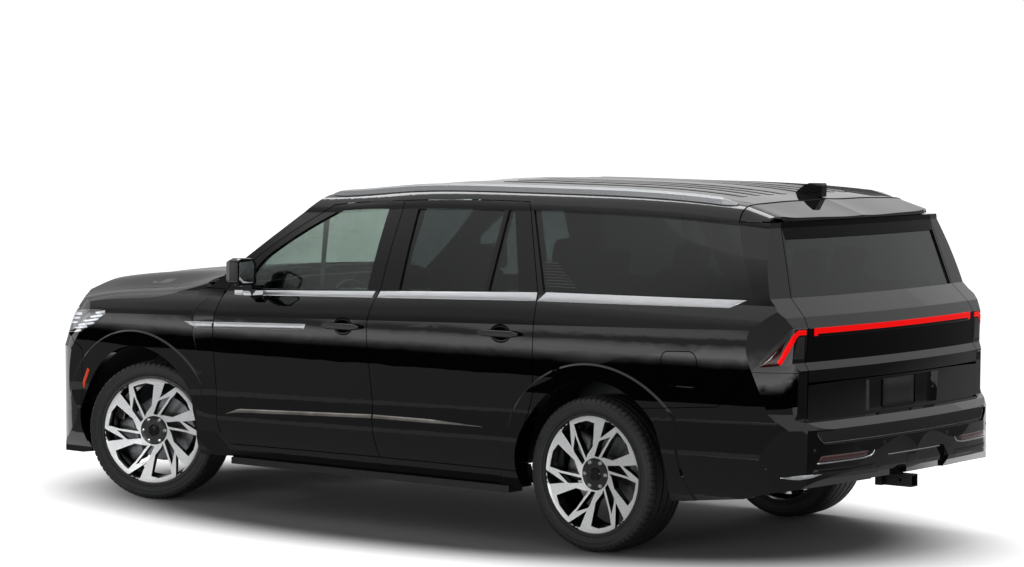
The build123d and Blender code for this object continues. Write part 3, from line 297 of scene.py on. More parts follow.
def tyre_rubber():
    """Vulcanised rubber filled with carbon black: matt, with a soft sheen on the sidewall."""
    return layered("vulcanised_tyre_rubber", "#161718", 0.62, IOR=1.52,
                   tone=("#121314", "#1c1d1e", 45.0), pebble=(3.0, 0.08))


def turned_alloy():
    """Cast aluminium wheel face turned on a lathe under clear lacquer: bright, finely ringed."""
    return layered("diamond_turned_aluminium", "#dfe0e1", 0.45, Metallic=0.75, Coat_Weight=0.5,
                   Coat_Roughness=0.05, tone=("#d8d9da", "#e8e9ea", 8.0))


def lacquered_alloy():
    """Cast aluminium in gloss black lacquer: the wheel's pockets and barrel."""
    return layered("black_lacquered_alloy", "#0a0b0c", 0.22, IOR=1.5, Coat_Weight=0.6,
                   tone=("#070808", "#101113", 30.0))


def stainless_steel():
    """Rolled stainless steel, lightly heat-tinted."""
    return layered("rolled_stainless_steel", "#8f8b86", 0.36, Metallic=1.0,
                   tone=("#7f7a74", "#9d9a96", 120.0))


def cast_iron():
    """Sand-cast iron in thin black paint: coarse and dark."""
    return layered("sand_cast_iron", "#232425", 0.6, IOR=1.5, tone=("#1b1c1d", "#2e2f30", 25.0),
                   pebble=(4.0, 0.25))


def turned_iron():
    """Turned cast-iron brake disc: grey metal with fine rings."""
    return layered("turned_brake_iron", "#77787a", 0.34, Metallic=1.0,
                   tone=("#6a6b6d", "#868789", 6.0))


def caliper_casting():
    """Cast aluminium caliper, bead-blasted and coated silver-grey."""
    return layered("cast_aluminium_caliper", "#7c7e80", 0.45, Metallic=0.8,
                   tone=("#6e7072", "#8a8c8e", 15.0), pebble=(3.0, 0.1))


def pebbled_leather():
    """Corrected-grain leather, black: soft sheen and a fine pebble."""
    colour = bpy.context.scene.suv_cabin.leather
    material, tree, shader = start("pebbled_leather", "#211f1e", 0.48, IOR=1.45)
    shader.inputs["Base Color"].default_value = list(colour) + [1.0]
    grain(tree, shader, 4.0, 0.25, cells=True)  # pebble of about 1.5 mm, drawn at 4
    sheen_drift(tree, shader, 0.42, 0.56, 70.0)
    return material


def soft_trim():
    """Slush-moulded soft trim on doors and dash."""
    return layered("slush_moulded_trim", "#1b1a1a", 0.6, IOR=1.46,
                   tone=("#181717", "#201f1e", 50.0), pebble=(3.0, 0.12), cells=True)


def cut_pile_carpet():
    """Cut-pile nylon carpet: dark and fibrous."""
    return layered("cut_pile_nylon_carpet", "#161617", 0.9, Sheen_Weight=0.3,
                   tone=("#101011", "#1e1e20", 5.0), pebble=(4.0, 0.8))


def knitted_headliner():
    """Knitted polyester over foam: pale grey, matt."""
    return layered("knitted_polyester_headliner", "#4a4845", 0.9, Sheen_Weight=0.2,
                   tone=("#454340", "#504e4a", 6.0), pebble=(3.0, 0.2))


def moulded_polyethylene():
    """Blow-moulded polyethylene tank: waxy black."""
    return layered("blow_moulded_polyethylene", "#17181a", 0.5, IOR=1.51,
                   tone=("#131415", "#1e2022", 80.0), pebble=(12.0, 0.2))


def display_glass():
    """Bonded display under matt glass, asleep: even, inky black."""
    return layered("matt_display_glass", "#06070a", 0.18, IOR=1.5,
                   tone=("#050609", "#090b10", 120.0))


def blank_plate():
    """Pressed aluminium plate in satin black enamel, left blank."""
    return layered("pressed_enamelled_plate", "#08090a", 0.3, IOR=1.5,
                   tone=("#060707", "#0c0d0e", 40.0))


def seen_directly(tree):
    """1 for rays that show a surface to the eye, by itself, in a mirror or through glass."""
    rays = node(tree, "ShaderNodeLightPath")
    direct = node(tree, "ShaderNodeMath", {0: rays.outputs["Is Camera Ray"],
                                           1: rays.outputs["Is Glossy Ray"]}, operation="MAXIMUM")
    return node(tree, "ShaderNodeMath", {0: direct.outputs["Value"],
                                         1: rays.outputs["Is Transmission Ray"]},
                operation="MAXIMUM").outputs["Value"]


def paper_floor():
    """Seamless pale grey paper: matt, faintly fibrous; white to the eye away from the vehicle,
    which leaves an ellipse round the vehicle darker: the real shadow there, and painted shade that
    shapes the shadow's edge.
    """
    material, tree, shader = start("seamless_pale_paper", "#a8a8a8", 0.9)
    tones(tree, shader, "#a6a6a6", "#aaaaaa", 30.0)
    spot = node(tree, "ShaderNodeTexCoord")
    spread = node(tree, "ShaderNodeMapping",
                  {"Vector": spot.outputs["Object"], "Scale": (1 / 3.6, 1 / 1.95, 1)})
    reach = node(tree, "ShaderNodeVectorMath", {0: spread.outputs["Vector"]}, operation="LENGTH")
    # painted shade: the floor is lifted to white only outside this ellipse, so the grey inside it
    # reads as the edge of the vehicle's shadow
    burn = node(tree, "ShaderNodeMapRange", {"Value": reach.outputs["Value"], "From Min": 0.66,
                                             "From Max": 1.0}, interpolation_type="SMOOTHSTEP")
    seen = node(tree, "ShaderNodeMath", {0: seen_directly(tree), 1: burn.outputs["Result"]},
                operation="MULTIPLY")
    shader.inputs["Emission Color"].default_value = (1, 1, 1, 1)
    tree.links.new(seen.outputs["Value"], shader.inputs["Emission Strength"])
    return material


FINISHES = {}


def finish(maker):
    """The material that a maker function gives, made once."""
    if maker.__name__ not in FINISHES:
        FINISHES[maker.__name__] = maker()
    return FINISHES[maker.__name__]


# ---- meshes ---------------------------------------------------------------
def placed(name, data):
    """A new object of this data, linked to the scene."""
    made = bpy.data.objects.new(name, data)
    bpy.context.scene.collection.objects.link(made)
    return made


def as_mesh(name, bm):
    """Mesh data from a finished bmesh."""
    mesh = bpy.data.meshes.new(name)
    bm.to_mesh(mesh)
    bm.free()
    return mesh


def piece(name, bm, maker, body, sharp=40.0):
    """A smoothly shaded object that rides on a body; edges past the sharp angle stay hard."""
    bmesh.ops.recalc_face_normals(bm, faces=bm.faces)
    mesh = as_mesh(name, bm)
    mesh.shade_smooth()
    mesh.set_sharp_from_angle(angle=math.radians(sharp))
    mesh.materials.append(finish(maker))
    made = placed(name, mesh)
    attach(made, body)
    return made


def from_grid(rows, close_u=False, close_v=False, bm=None):
    """Quads over a grid of points."""
    bm = bm or bmesh.new()
    verts = [[bm.verts.new(p) for p in row] for row in rows]
    count, width = len(rows), len(rows[0])
    for i in range(count if close_u else count - 1):
        for j in range(width if close_v else width - 1):
            a, b = verts[i], verts[(i + 1) % count]
            bm.faces.new((a[j], b[j], b[(j + 1) % width], a[(j + 1) % width]))
    return bm, verts


def revolve(profile, steps):
    """Closed ring from (along, radius) points turned about the local X axis."""
    rows = []
    for k in range(steps):
        c, s = math.cos(2 * math.pi * k / steps), math.sin(2 * math.pi * k / steps)
        rows.append([Vector((a, r * c, r * s)) for a, r in profile])
    return from_grid(rows, close_u=True, close_v=True)[0]


GROOVE_DEPTH = 0.06  # of a cushion's thickness
GROOVE_SHARPNESS = 9.0


def rounded_box(size, power=7.0, cuts=10, crown=0.0, channels=0):
    """A box with soft edges; crown swells its top, channels press sewn grooves across it."""
    bm = bmesh.new()
    bmesh.ops.create_cube(bm, size=2.0)
    bmesh.ops.subdivide_edges(bm, edges=bm.edges[:], cuts=cuts, use_grid_fill=True)
    for v in bm.verts:
        p = v.co.copy()
        p /= sum(abs(c) ** power for c in p) ** (1.0 / power)
        swell = 1.0 + crown * (1 - p.x ** 2) * (1 - p.y ** 2)
        groove = 0.0
        phase = (p.x * 0.5 + 0.5) * channels
        if 0.1 < phase < channels - 0.1:
            groove = GROOVE_DEPTH * math.exp(-((phase - round(phase)) * GROOVE_SHARPNESS) ** 2)
        v.co = (p.x * size[0] / 2, p.y * size[1] / 2, p.z * size[2] / 2 * (swell - groove))
    return bm


def boxed(name, size, where, maker, slot, body="body", **shape):
    """A soft-edged box as a piece, moved to its place by a matrix."""
    bm = rounded_box(size, **shape)
    bm.transform(where)
    return piece(name, bm, maker, body)


def merge(target, extra):
    """Moves one mesh's faces into another."""
    copies = {v: target.verts.new(v.co) for v in extra.verts}
    for face in extra.faces:
        target.faces.new([copies[v] for v in face.verts])
    extra.free()


def flipped(value, side):
    """A point, direction, name or list of them, on the given side of the centreline."""
    if side == "left":
        return value
    if isinstance(value, str):
        return value.replace("left", "right")
    if isinstance(value, Vector):
        return Vector((value.x, -value.y, value.z))
    return [flipped(v, side) for v in value]


TREES = {}


def surface(names):
    """A search tree over CAD nodes and laid-on skins at rest."""
    key = tuple(names)
    if key not in TREES:
        points, polygons = [], []
        for name in names:
            mesh, base = (NODES.get(name) or bpy.data.objects[name]).data, len(points)
            points += [v.co.copy() for v in mesh.vertices]
            polygons += [[base + i for i in p.vertices] for p in mesh.polygons]
        TREES[key] = BVHTree.FromPolygons(points, polygons)
    return TREES[key]


def resampled(path, count):
    """Points evenly spaced along a polyline."""
    lengths = [0.0]
    for a, b in zip(path, path[1:]):
        lengths.append(lengths[-1] + (b - a).length)
    out, k = [], 0
    for i in range(count):
        goal = lengths[-1] * i / (count - 1)
        while k < len(path) - 2 and lengths[k + 1] < goal:
            k += 1
        span = (lengths[k + 1] - lengths[k]) or 1.0
        out.append(path[k].lerp(path[k + 1], (goal - lengths[k]) / span))
    return out


def mm_points(points):
    """Vectors in metres from points in millimetres."""
    return [Vector(p) * MM for p in points]


def between(edge_a, edge_b, count, bevel=0.12):
    """Rows of points across a strip bounded by two edges, closer together at its rims."""
    a, b = resampled(mm_points(edge_a), count), resampled(mm_points(edge_b), count)
    return [[p.lerp(q, t) for p, q in zip(a, b)] for t in (0.0, bevel, 0.5, 1.0 - bevel, 1.0)]


def along(path, width, count, direction, bevel=0.2):
    """Rows of points for a stroke of this width along a path."""
    line = resampled(mm_points(path), count)
    half = width * MM / 2
    edges = ([], [])
    for i, p in enumerate(line):
        tangent = line[min(i + 1, count - 1)] - line[max(i - 1, 0)]
        across = tangent.cross(Vector(direction)).normalized() * half
        edges[0].append(p - across)
        edges[1].append(p + across)
    return [[p.lerp(q, t) for p, q in zip(*edges)] for t in (0.0, bevel, 0.5, 1.0 - bevel, 1.0)]


def sheet(front, back):
    """A closed mesh between two grids of the same size."""
    bm, top = from_grid(front)
    _, low = from_grid(back, bm=bm)
    ring = lambda g: g[0] + [r[-1] for r in g[1:-1]] + g[-1][::-1] + [r[0] for r in g[-2:0:-1]]
    a, b = ring(top), ring(low)
    for k in range(len(a)):
        n = (k + 1) % len(a)
        bm.faces.new((a[k], a[n], b[n], b[k]))
    return bm


CAST_FROM = 3.0  # metres outside the surface, clear of the whole vehicle
RIM_SHARE = 0.35  # of a trim's height, left at its rim
SUNK = 1.0 * MM  # how deep a trim's back lies under the surface


def inside(point):
    """The point, kept in the CAD model's box."""
    return Vector(max(low, min(high, value)) for low, high, value in zip(*CAD_BOX, point))


def relief(name, rows, direction, nodes, proud, maker, body, side="left"):
    """A trim piece laid on CAD surfaces: each point is cast along a direction onto the nodes."""
    rows, nodes = flipped(rows, side), flipped(nodes, side)
    direction = flipped(Vector(direction), side).normalized()
    tree = surface(nodes)
    front, back = [], []
    height, count = len(rows), len(rows[0])
    for j, row in enumerate(rows):
        tops, floors, last = [], [], None
        for i, p in enumerate(row):
            spot, normal, _, _ = tree.ray_cast(p - direction * CAST_FROM, direction)
            if spot is None:
                spot, normal, _, _ = tree.find_nearest(p if last is None else last)
            if normal.dot(direction) > 0:
                normal = -normal
            last = spot
            rim = j in (0, height - 1) or i in (0, count - 1)
            lift = (RIM_SHARE if rim else 1.0) * proud * MM
            tops.append(inside(spot + normal * lift))
            floors.append(spot - normal * SUNK)
        front.append(tops)
        back.append(floors)
    return piece(flipped(name, side), sheet(front, back), maker, flipped(body, side))


LEFTWARD, REARWARD, FORWARD, DOWN = (0, -1, 0), (1, 0, 0), (-1, 0, 0), (0, 0, -1)
REAR_CORNER = (1, -1, 0)
FRONT_CORNER = (-1, -1, 0)


# ---- settings -------------------------------------------------------------
class SUV_PG_trim(bpy.types.PropertyGroup):
    """Sizes of the bright trim."""
    strip_proud: FloatProperty(name="Strip height",
                               description="How far the belt strip stands off the panel, mm",
                               default=4.0, min=1.0, max=10.0)
    # the lower door strip stands in for a moulded ledge; its brightness is a painted highlight of
    # that ledge
    ledge_highlight_width: FloatProperty(name="Ledge highlight width",
                                description="Height of the lower door ledge_highlight, mm", default=20.0,
                                min=4.0, max=40.0)
    louvres: IntProperty(name="Louvre ribs",
                         description="Ribs in the quarter window's front corner", default=9, min=1,
                         max=20)


class SUV_PG_wheels(bpy.types.PropertyGroup):
    """Sizes of the tyres and wheel hardware."""
    tread_depth: FloatProperty(name="Tread depth", description="Depth of the tyre's grooves, mm",
                               default=7.0, min=1.0, max=12.0)
    pitches: IntProperty(name="Tread pitches", description="Shoulder blocks round one tyre",
                         default=72, min=24, max=96)
    lugs: IntProperty(name="Lug nuts", description="Nuts on each wheel", default=6, min=4, max=8)
    lug_circle: FloatProperty(name="Lug circle", description="Radius of the nuts' circle, mm",
                              default=68.0)


class SUV_PG_cabin(bpy.types.PropertyGroup):
    """Colours and fullness of the cabin's soft parts."""
    leather: FloatVectorProperty(name="Leather", description="Seat leather colour",
                                 subtype="COLOR", size=3, default=linear("#262322")[:3], min=0.0,
                                 max=1.0)
    crown: FloatProperty(name="Cushion crown",
                         description="How much a cushion swells at its middle", default=0.16,
                         min=0.0, max=0.5)


class SUV_PG_stage(bpy.types.PropertyGroup):
    """Camera, lamps and backdrop."""
    camera: FloatVectorProperty(name="Camera place", description="Where the camera stands", size=3,
                                subtype="TRANSLATION", unit="LENGTH",
                                default=(-11.185, 13.529, 2.382))
    heading: FloatProperty(name="Heading", description="Camera heading from +X", subtype="ANGLE",
                           unit="ROTATION", default=math.radians(-50.76))
    pitch: FloatProperty(name="Pitch", description="Camera pitch above level", subtype="ANGLE",
                         unit="ROTATION", default=math.radians(-3.57))
    lens: FloatProperty(name="Lens", description="Focal length on a 36 mm frame, mm", default=108.8)
    ambient: FloatProperty(name="Ambient", description="Strength of the even studio light",
                           default=0.15)
    softbox: FloatProperty(name="Softbox power", description="Each softbox, watts",
                           subtype="POWER", default=150.0)


# ---- bodywork -------------------------------------------------------------
SLOT_FINISH = {
    "paint": clear_coated_black_paint, "structure": e_coated_steel, "glass_dark": privacy_glass,
    "glass_front": green_tint_glass, "bright": satin_aluminium, "lens_clear": smoked_lens,
    "lens_red": red_lens, "black_gloss": polished_black_asa,
    "black_plastic": grained_black_polypropylene,
    "rubber_tyre": tyre_rubber, "alloy": lacquered_alloy, "steel": stainless_steel,
    "iron": cast_iron,
    "leather_seat": pebbled_leather, "tank_plastic": moulded_polyethylene,
}


# where one finish gives way to another on a CAD node, metres
DOOR_SHELL = 0.12
WINDOW_FOOT, MIRROR_FOOT, CARPET = 1.31, 1.315, 0.55
WINDSCREEN_HEAD = 0.4
GATE_GLASS_FOOT, GATE_BAND, TAIL_LAMP_FOOT = 1.625, (1.037, 1.21), 1.03


def dress(name, maker, test):
    """Gives the faces of a CAD node that pass a test of centre and normal another finish."""
    mesh = NODES[name].data
    mesh.materials.append(finish(maker))
    index = len(mesh.materials) - 1
    for face in mesh.polygons:
        if test(face.center, face.normal):
            face.material_index = index


class SUV_OT_bodywork(bpy.types.Operator):
    """Gives every CAD node the finish of its material slot, and its inner faces their trim"""
    bl_idname = "suv.bodywork"
    bl_label = "Bodywork finishes"

    def execute(self, context):
        for made in NODES.values():
            slot = made.data.materials[0].name.split(".")[0]
            made.data.materials[0] = finish(SLOT_FINISH[slot])
        NODES["light_bar"].data.materials[0] = finish(lit_red_guide)
        NODES["tail_lamps"].data.materials[0] = finish(smoked_ruby_lens)
        NODES["roof_rails"].data.materials[0] = finish(blasted_aluminium)
        dress("fixed_glass", green_tint_glass, lambda c, n: c.x > WINDSCREEN_HEAD)
        for side, s in SIDES.items():
            for door in ("front_door_" + side, "rear_door_" + side):
                shell = abs(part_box(door)[0 if s < 0 else 1].y) - DOOR_SHELL
                dress(door, soft_trim, lambda c, n: n.y * s < -0.3 and abs(c.y) < shell)
                dress(door, polished_black_asa, lambda c, n: c.z > WINDOW_FOOT and n.y * s > 0.2)
            dress("body_side_" + side, soft_trim, lambda c, n: n.y * s < -0.4)
            dress("mirror_" + side, polished_black_asa,
                  lambda c, n: c.z < MIRROR_FOOT or n.x < -0.7)
        dress("roof_panel", knitted_headliner, lambda c, n: n.z < -0.3)
        dress("floor_pan", cut_pile_carpet, lambda c, n: n.z > 0.3 and c.z > CARPET)
        dress("hood", e_coated_steel, lambda c, n: n.z < -0.3)
        dress("dashboard", soft_trim, lambda c, n: c.z > CARPET + 0.05)
        # header under the spoiler: partly its real black, partly painted shade under the spoiler's
        # overhang, given by the least reflective black
        dress("liftgate", back_painted_acrylic, lambda c, n: c.z > GATE_GLASS_FOOT and n.x < -0.2)
        dress("liftgate", back_painted_acrylic,
              lambda c, n: GATE_BAND[0] < c.z < GATE_BAND[1] and n.x < -0.6)
        dress("tail_lamps", clear_coated_black_paint, lambda c, n: c.z < TAIL_LAMP_FOOT)
        return {"FINISHED"}


# ---- fenders --------------------------------------------------------------
# (x, z) lines in mm: where the skin starts on the fender, and where it ends at the door's gap
FENDER_ROWS = 42
DOOR_SHOULDER = 1228  # top of the door's outer skin, mm
FENDER_SEAM = [(1372, 440), (1377, 480), (1385, 520), (1393, 560), (1396, 620), (1396, 1246)]
FENDER_EDGE = [(1187, 440), (1203, 480), (1215, 520), (1232, 600), (1241, 700), (1244, 800),
               (1243, 900), (1239, 1000), (1234, 1050), (1226, 1100), (1214, 1150), (1199, 1200),
               (1184, 1246)]


def at_height(line, z):
    """A line's station at one height; the line runs upwards."""
    for (xa, za), (xb, zb) in zip(line, line[1:]):
        if z <= zb:
            return xa + (xb - xa) * (z - za) / (zb - za)
    return line[-1][0]


class SUV_OT_fender_skins(bpy.types.Operator):
    """Carries each front fender's skin back to the door's edge and hems it there"""
    bl_idname = "suv.fender_skins"
    bl_label = "Fender skins"

    def execute(self, context):
        foot, head = FENDER_EDGE[0][1], FENDER_EDGE[-1][1]
        for side, s in SIDES.items():
            fender, door = surface(["front_fender_" + side]), surface(["front_door_" + side])
            front = []
            for k in range(FENDER_ROWS):
                z = foot + (head - foot) * k / (FENDER_ROWS - 1)
                seam, edge = at_height(FENDER_SEAM, z), at_height(FENDER_EDGE, z)
                heights = [min(max(z + 20 * n, foot + 2), head) for n in (-4, -2, 0, 2, 3)]
                nearby = [self.outer(fender, at_height(FENDER_SEAM, h), h, s) * s for h in heights]
                start_y = min(nearby[2], sum(nearby) / 5) * s
                end_y = self.outer(door, edge - 20, min(z, DOOR_SHOULDER), s)
                row = [Vector((seam + (edge - seam) * t, start_y + (end_y - start_y) * t, z))
                       for t in (0, 0.3, 0.7, 1)]
                row += [Vector((edge - 1, end_y - 2 * s, z)), Vector((edge, end_y - 26 * s, z))]
                front.append([Vector((p.x, p.y + 0.5 * s, p.z)) * MM for p in row])
            back = [[p - Vector((-0.0015 * (i > 3), 0.002 * s, 0)) for i, p in enumerate(row)]
                    for row in front]
            piece("fender_skin_" + side, sheet(front, back), clear_coated_black_paint, "body")
        return {"FINISHED"}

    def outer(self, tree, x, z, s):
        """How far out a panel stands at one place, mm."""
        spot = tree.ray_cast(Vector((x * MM, CAST_FROM * s, z * MM)), Vector((0, -s, 0)))[0]
        if spot is None:
            raise RuntimeError("fender skin misses its panel")
        return spot.y / MM


# ---- bright trim ----------------------------------------------------------
def belt_edges(x):
    """Lower and upper edge of the belt strip at a station."""
    run = 1112.0 - x
    return 1226.0 + 0.0272 * run, 1252.0 + 0.0351 * run


def belt_run(x_low, x_high):
    """Lower and upper edges of one panel's belt strip, each given by its two end stations."""
    low = [(x, 0, belt_edges(x)[0]) for x in x_low]
    high = [(x, 0, belt_edges(x)[1]) for x in x_high]
    return low, high


class SUV_OT_bright_trim(bpy.types.Operator):
    """Lays the belt and fender strips on the side panels, and on the lower doors stainless strips
    standing in for a moulded ledge, bright as a painted highlight
    """
    bl_idname = "suv.bright_trim"
    bl_label = "Bright trim"

    def execute(self, context):
        proud = context.scene.suv_trim.strip_proud
        quarter = [(-1102, 0, 1285), (-2305, 0, 1301)], [(-1146, 0, 1332), (-2396, 0, 1342)]
        strips = [
            ("belt_strip_front_door_left", belt_run((1100, 23), (1114, 15)), "front_door_left"),
            ("belt_strip_rear_door_left", belt_run((16, -1092), (8, -1085)), "rear_door_left"),
            ("belt_strip_quarter_left", quarter, "body"),
            ("fender_strip_left", ([(1360, 0, 1026), (1234, 0, 1031)],
                                   [(1467, 0, 1062), (1230, 0, 1069)]), "body"),
            ("door_strip_left", ([(1226, 0, 1031), (527, 0, 1057)],
                                 [(1222, 0, 1069), (512, 0, 1091)]),
             "front_door_left"),
        ]
        homes = {"belt_strip_quarter_left": ["body_side_left"],
                 "fender_strip_left": ["front_fender_left", "fender_skin_left"]}
        high = context.scene.suv_trim.ledge_highlight_width
        # lower doors: proud stainless strips stand in for a moulded ledge, and their brightness is
        # a painted highlight of it
        ledge_highlights = [("front_door_left", [(1142, 0, 549), (1046, 0, 563), (40, 0, 598)],
                    [(1140, 0, 551), (1046, 0, 563 + high), (40, 0, 598 + high)]),
                   ("rear_door_left", [(28, 0, 598), (-380, 0, 600), (-753, 0, 604)],
                    [(28, 0, 598 + high), (-380, 0, 600 + high), (-753, 0, 606)])]
        for side in SIDES:
            for name, (low, high), body in strips:
                nodes = homes.get(name, [body])
                relief(name, between(low, high, 40), LEFTWARD, nodes, proud, satin_aluminium, body,
                       side)
            for door, foot, head in ledge_highlights:
                relief("ledge_highlight_" + door, between(foot, head, 40), LEFTWARD, [door], 3.0,
                       stainless_steel, door, side)
            self.louvres(side, context.scene.suv_trim.louvres)
        return {"FINISHED"}

    def louvres(self, side, count):
        """Short ribs in the quarter window's front lower corner."""
        for k in range(count):
            z = 1362 + 15 * k
            x = -1118 + 0.44 * (z - 1336) - 14
            rows = along([(x, 0, z), (x - 210 + 13 * k, 0, z)], 5.0, 8, LEFTWARD)
            relief(f"window_louvre_{k + 1}_left", rows, LEFTWARD, ["fixed_glass"], 1.0,
                   fired_ceramic_print, "body", side)


# ---- lamps ----------------------------------------------------------------
class SUV_OT_lamps(bpy.types.Operator):
    """Adds the light guides, markers and reflectors of both ends"""
    bl_idname = "suv.lamps"
    bl_label = "Lamps"

    def execute(self, context):
        stroke = [(-2667, 800, 1188), (-2660, 858, 1189), (-2653, 885, 1168), (-2630, 907, 1112),
                  (-2610, 920, 1070), (-2590, 931, 1035)]
        wing = [(-2598, 928, 1027), (-2508, 966, 1017)], [(-2620, 914, 1148), (-2508, 966, 1030)]
        panel = [(0, 812, 1056), (0, 893, 1060)], [(0, 812, 1170), (0, 858, 1164)]
        # points of a painted highlight along the rear bumper's lower corner, where the surface
        # turns under
        corner = ([(-2617, 950, 474), (-2655, 925, 467), (-2693, 890, 465), (-2730, 830, 473),
                   (-2748, 778, 487)], [(-2617, 950, 477), (-2655, 925, 481), (-2693, 890, 487),
                                        (-2730, 830, 489), (-2748, 778, 489)])
        for side in SIDES:
            relief("tail_lamp_guide_left", along(stroke, 25, 40, REAR_CORNER), REAR_CORNER,
                   ["tail_lamps"], 3.0, lit_red_guide, "body", side)
            relief("tail_lamp_wing_left", between(*wing, 24), REAR_CORNER, ["tail_lamps"], 2.0,
                   red_lens, "body", side)
            relief("tail_lamp_panel_left", between(*panel, 12), REARWARD, ["tail_lamps"], 1.5,
                   satin_black_bezel, "body", side)
            rows = between([(0, 800, 551), (0, 462, 553)], [(0, 780, 577), (0, 436, 580)], 20)
            relief("rear_reflector_left", rows, REARWARD, ["rear_bumper"], 2.5, red_reflector,
                   "body", side)
            bracket = [(0, 384, 579), (0, 396, 563), (0, 416, 553), (0, 474, 546), (0, 806, 541)]
            relief("reflector_bracket_left", along(bracket, 8, 40, REARWARD), REARWARD,
                   ["rear_bumper"], 3.0, satin_aluminium, "body", side)
            # painted highlight: a satin aluminium sliver laid where the bumper's lower corner shows
            # only a highlight
            relief("bumper_corner_trim_left", between(*corner, 24), REAR_CORNER, ["rear_bumper"],
                   3.0, satin_aluminium, "body", side)
            rows = between([(0, 838, 484), (0, 366, 478)], [(0, 822, 512), (0, 392, 512)], 30)
            relief("bumper_lower_band_left", rows, REARWARD, ["rear_bumper"], 1.5,
                   polished_black_asa, "body", side)
            relief("side_marker_left", along([(2303, 0, 738), (2345, 0, 660), (2352, 0, 622)], 20,
                                             14, LEFTWARD), LEFTWARD, ["front_fender_left"], 3.0,
                   amber_lens, "body", side)
            self.headlamp_wrap(side)
            for k, z in enumerate((1062, 1036, 1010)):
                path = [(2330 + 22 * k, 960, z), (2480, 900, z - 6), (2620, 780, z - 10),
                        (2700, 600, z - 10)]
                relief(f"headlamp_guide_{k + 1}_left",
                       along(path, 13 if k else 18, 30, FRONT_CORNER), FRONT_CORNER, ["headlamps"],
                       2.5, lit_white_guide, "body", side)
        return {"FINISHED"}

    def headlamp_wrap(self, side):
        """Rear part of the headlamp, laid on the fender, with its stepped guides."""
        low = [(2440, 0, 940), (2348, 0, 962), (2294, 0, 986), (2228, 0, 1008), (2187, 0, 1030),
               (2130, 0, 1068)]
        high = [(2440, 0, 1078), (2348, 0, 1088), (2294, 0, 1092), (2228, 0, 1095),
                (2187, 0, 1095), (2130, 0, 1092)]
        relief("headlamp_wrap_left", between(low, high, 40), LEFTWARD,
               ["front_fender_left", "headlamps"], 2.0, lamp_bezel_under_lens, "body", side)
        steps = [(2135, 2215, 1085), (2150, 2266, 1064), (2187, 2329, 1040), (2228, 2388, 1016),
                 (2294, 2436, 991), (2350, 2440, 966)]
        for k, (rear, front, z) in enumerate(steps):
            slant = 0.14 * (front - rear)
            rows = along([(rear, 0, z), (front, 0, z - slant)], 13, 12, LEFTWARD)
            relief(f"headlamp_step_{k + 1}_left", rows, LEFTWARD,
                   ["front_fender_left", "headlamps"], 4.0, lit_white_guide, "body", side)


# ---- ends -----------------------------------------------------------------
def stud(name, spot, direction, nodes, radius, proud, maker, body, side):
    """A round button seated on a surface."""
    spot, nodes = flipped(Vector(spot) * MM, side), flipped(nodes, side)
    direction = flipped(Vector(direction), side).normalized()
    place_on, normal, _, _ = surface(nodes).ray_cast(spot - direction * CAST_FROM, direction)
    if place_on is None:
        raise RuntimeError(name + " misses its panel")
    if normal.dot(direction) > 0:
        normal = -normal
    r, h = radius * MM, proud * MM
    bm = revolve([(-0.002, 0.0008), (-0.002, r), (0.4 * h, r), (h, 0.8 * r), (h, 0.0008)], 24)
    bm.transform(Matrix.Translation(place_on) @ normal.to_track_quat("X", "Z").to_matrix().to_4x4())
    return piece(flipped(name, side), bm, maker, flipped(body, side))


class SUV_OT_rear_dress(bpy.types.Operator):
    """Adds the tailgate's plate and lamp shade, and the rear bumper's trims, one of them a
    stainless strip that paints the highlight of the recess's lower lip
    """
    bl_idname = "suv.rear_dress"
    bl_label = "Rear trims"

    def execute(self, context):
        self.plate()
        relief("light_bar_shade", between([(0, 744, 1162), (0, -744, 1162)],
                                          [(0, 744, 1178), (0, -744, 1178)], 40), REARWARD,
               ["light_bar", "liftgate"], 1.5, back_painted_acrylic, "liftgate")
        # painted highlight: a stainless strip traced along the recess's lower lip, which shows only
        # a thin highlight there
        outline = [(0, -790, 694), (0, -788, 674), (0, -752, 639), (0, 752, 639), (0, 788, 674),
                   (0, 790, 694)]
        relief("bumper_recess_highlight", along(outline, 5, 120, REARWARD), REARWARD, ["rear_bumper"],
               2.0, stainless_steel, "body")
        relief("skid_panel_edge", along([(0, 254, 545), (0, -254, 545)], 10, 60, REARWARD),
               REARWARD, ["rear_bumper"], 14.0, satin_aluminium, "body")
        relief("hitch_cover", between([(0, 60, 446), (0, -60, 446)], [(0, 57, 532), (0, -57, 532)],
                                      8), REARWARD, ["rear_bumper"], 2.0, polished_black_asa,
               "body")
        for side in SIDES:
            for k, (spot, way) in enumerate((((0, 820, 606), REARWARD), ((0, 300, 608), REARWARD),
                                             ((-2532, 957, 514), REAR_CORNER))):
                stud(f"rear_sensor_{k + 1}_left", spot, way, ["rear_bumper"], 9.0, 1.5,
                     polished_black_asa, "body", side)
        return {"FINISHED"}

    def plate(self):
        """Blank plate on the tailgate's two plate holes."""
        rows = between([(0, 152, 770), (0, -152, 770)], [(0, 152, 920), (0, -152, 920)], 12,
                       bevel=0.04)
        relief("rear_plate", rows, REARWARD, ["lower_tailgate"], 4.0, blank_plate, "lower_tailgate")
        frame_path = [(0, 156, 771), (0, 156, 919), (0, -156, 919), (0, -156, 771), (0, 150, 771)]
        relief("rear_plate_frame", along(frame_path, 7, 120, REARWARD), REARWARD,
               ["lower_tailgate"], 7.0, polished_black_asa, "lower_tailgate")


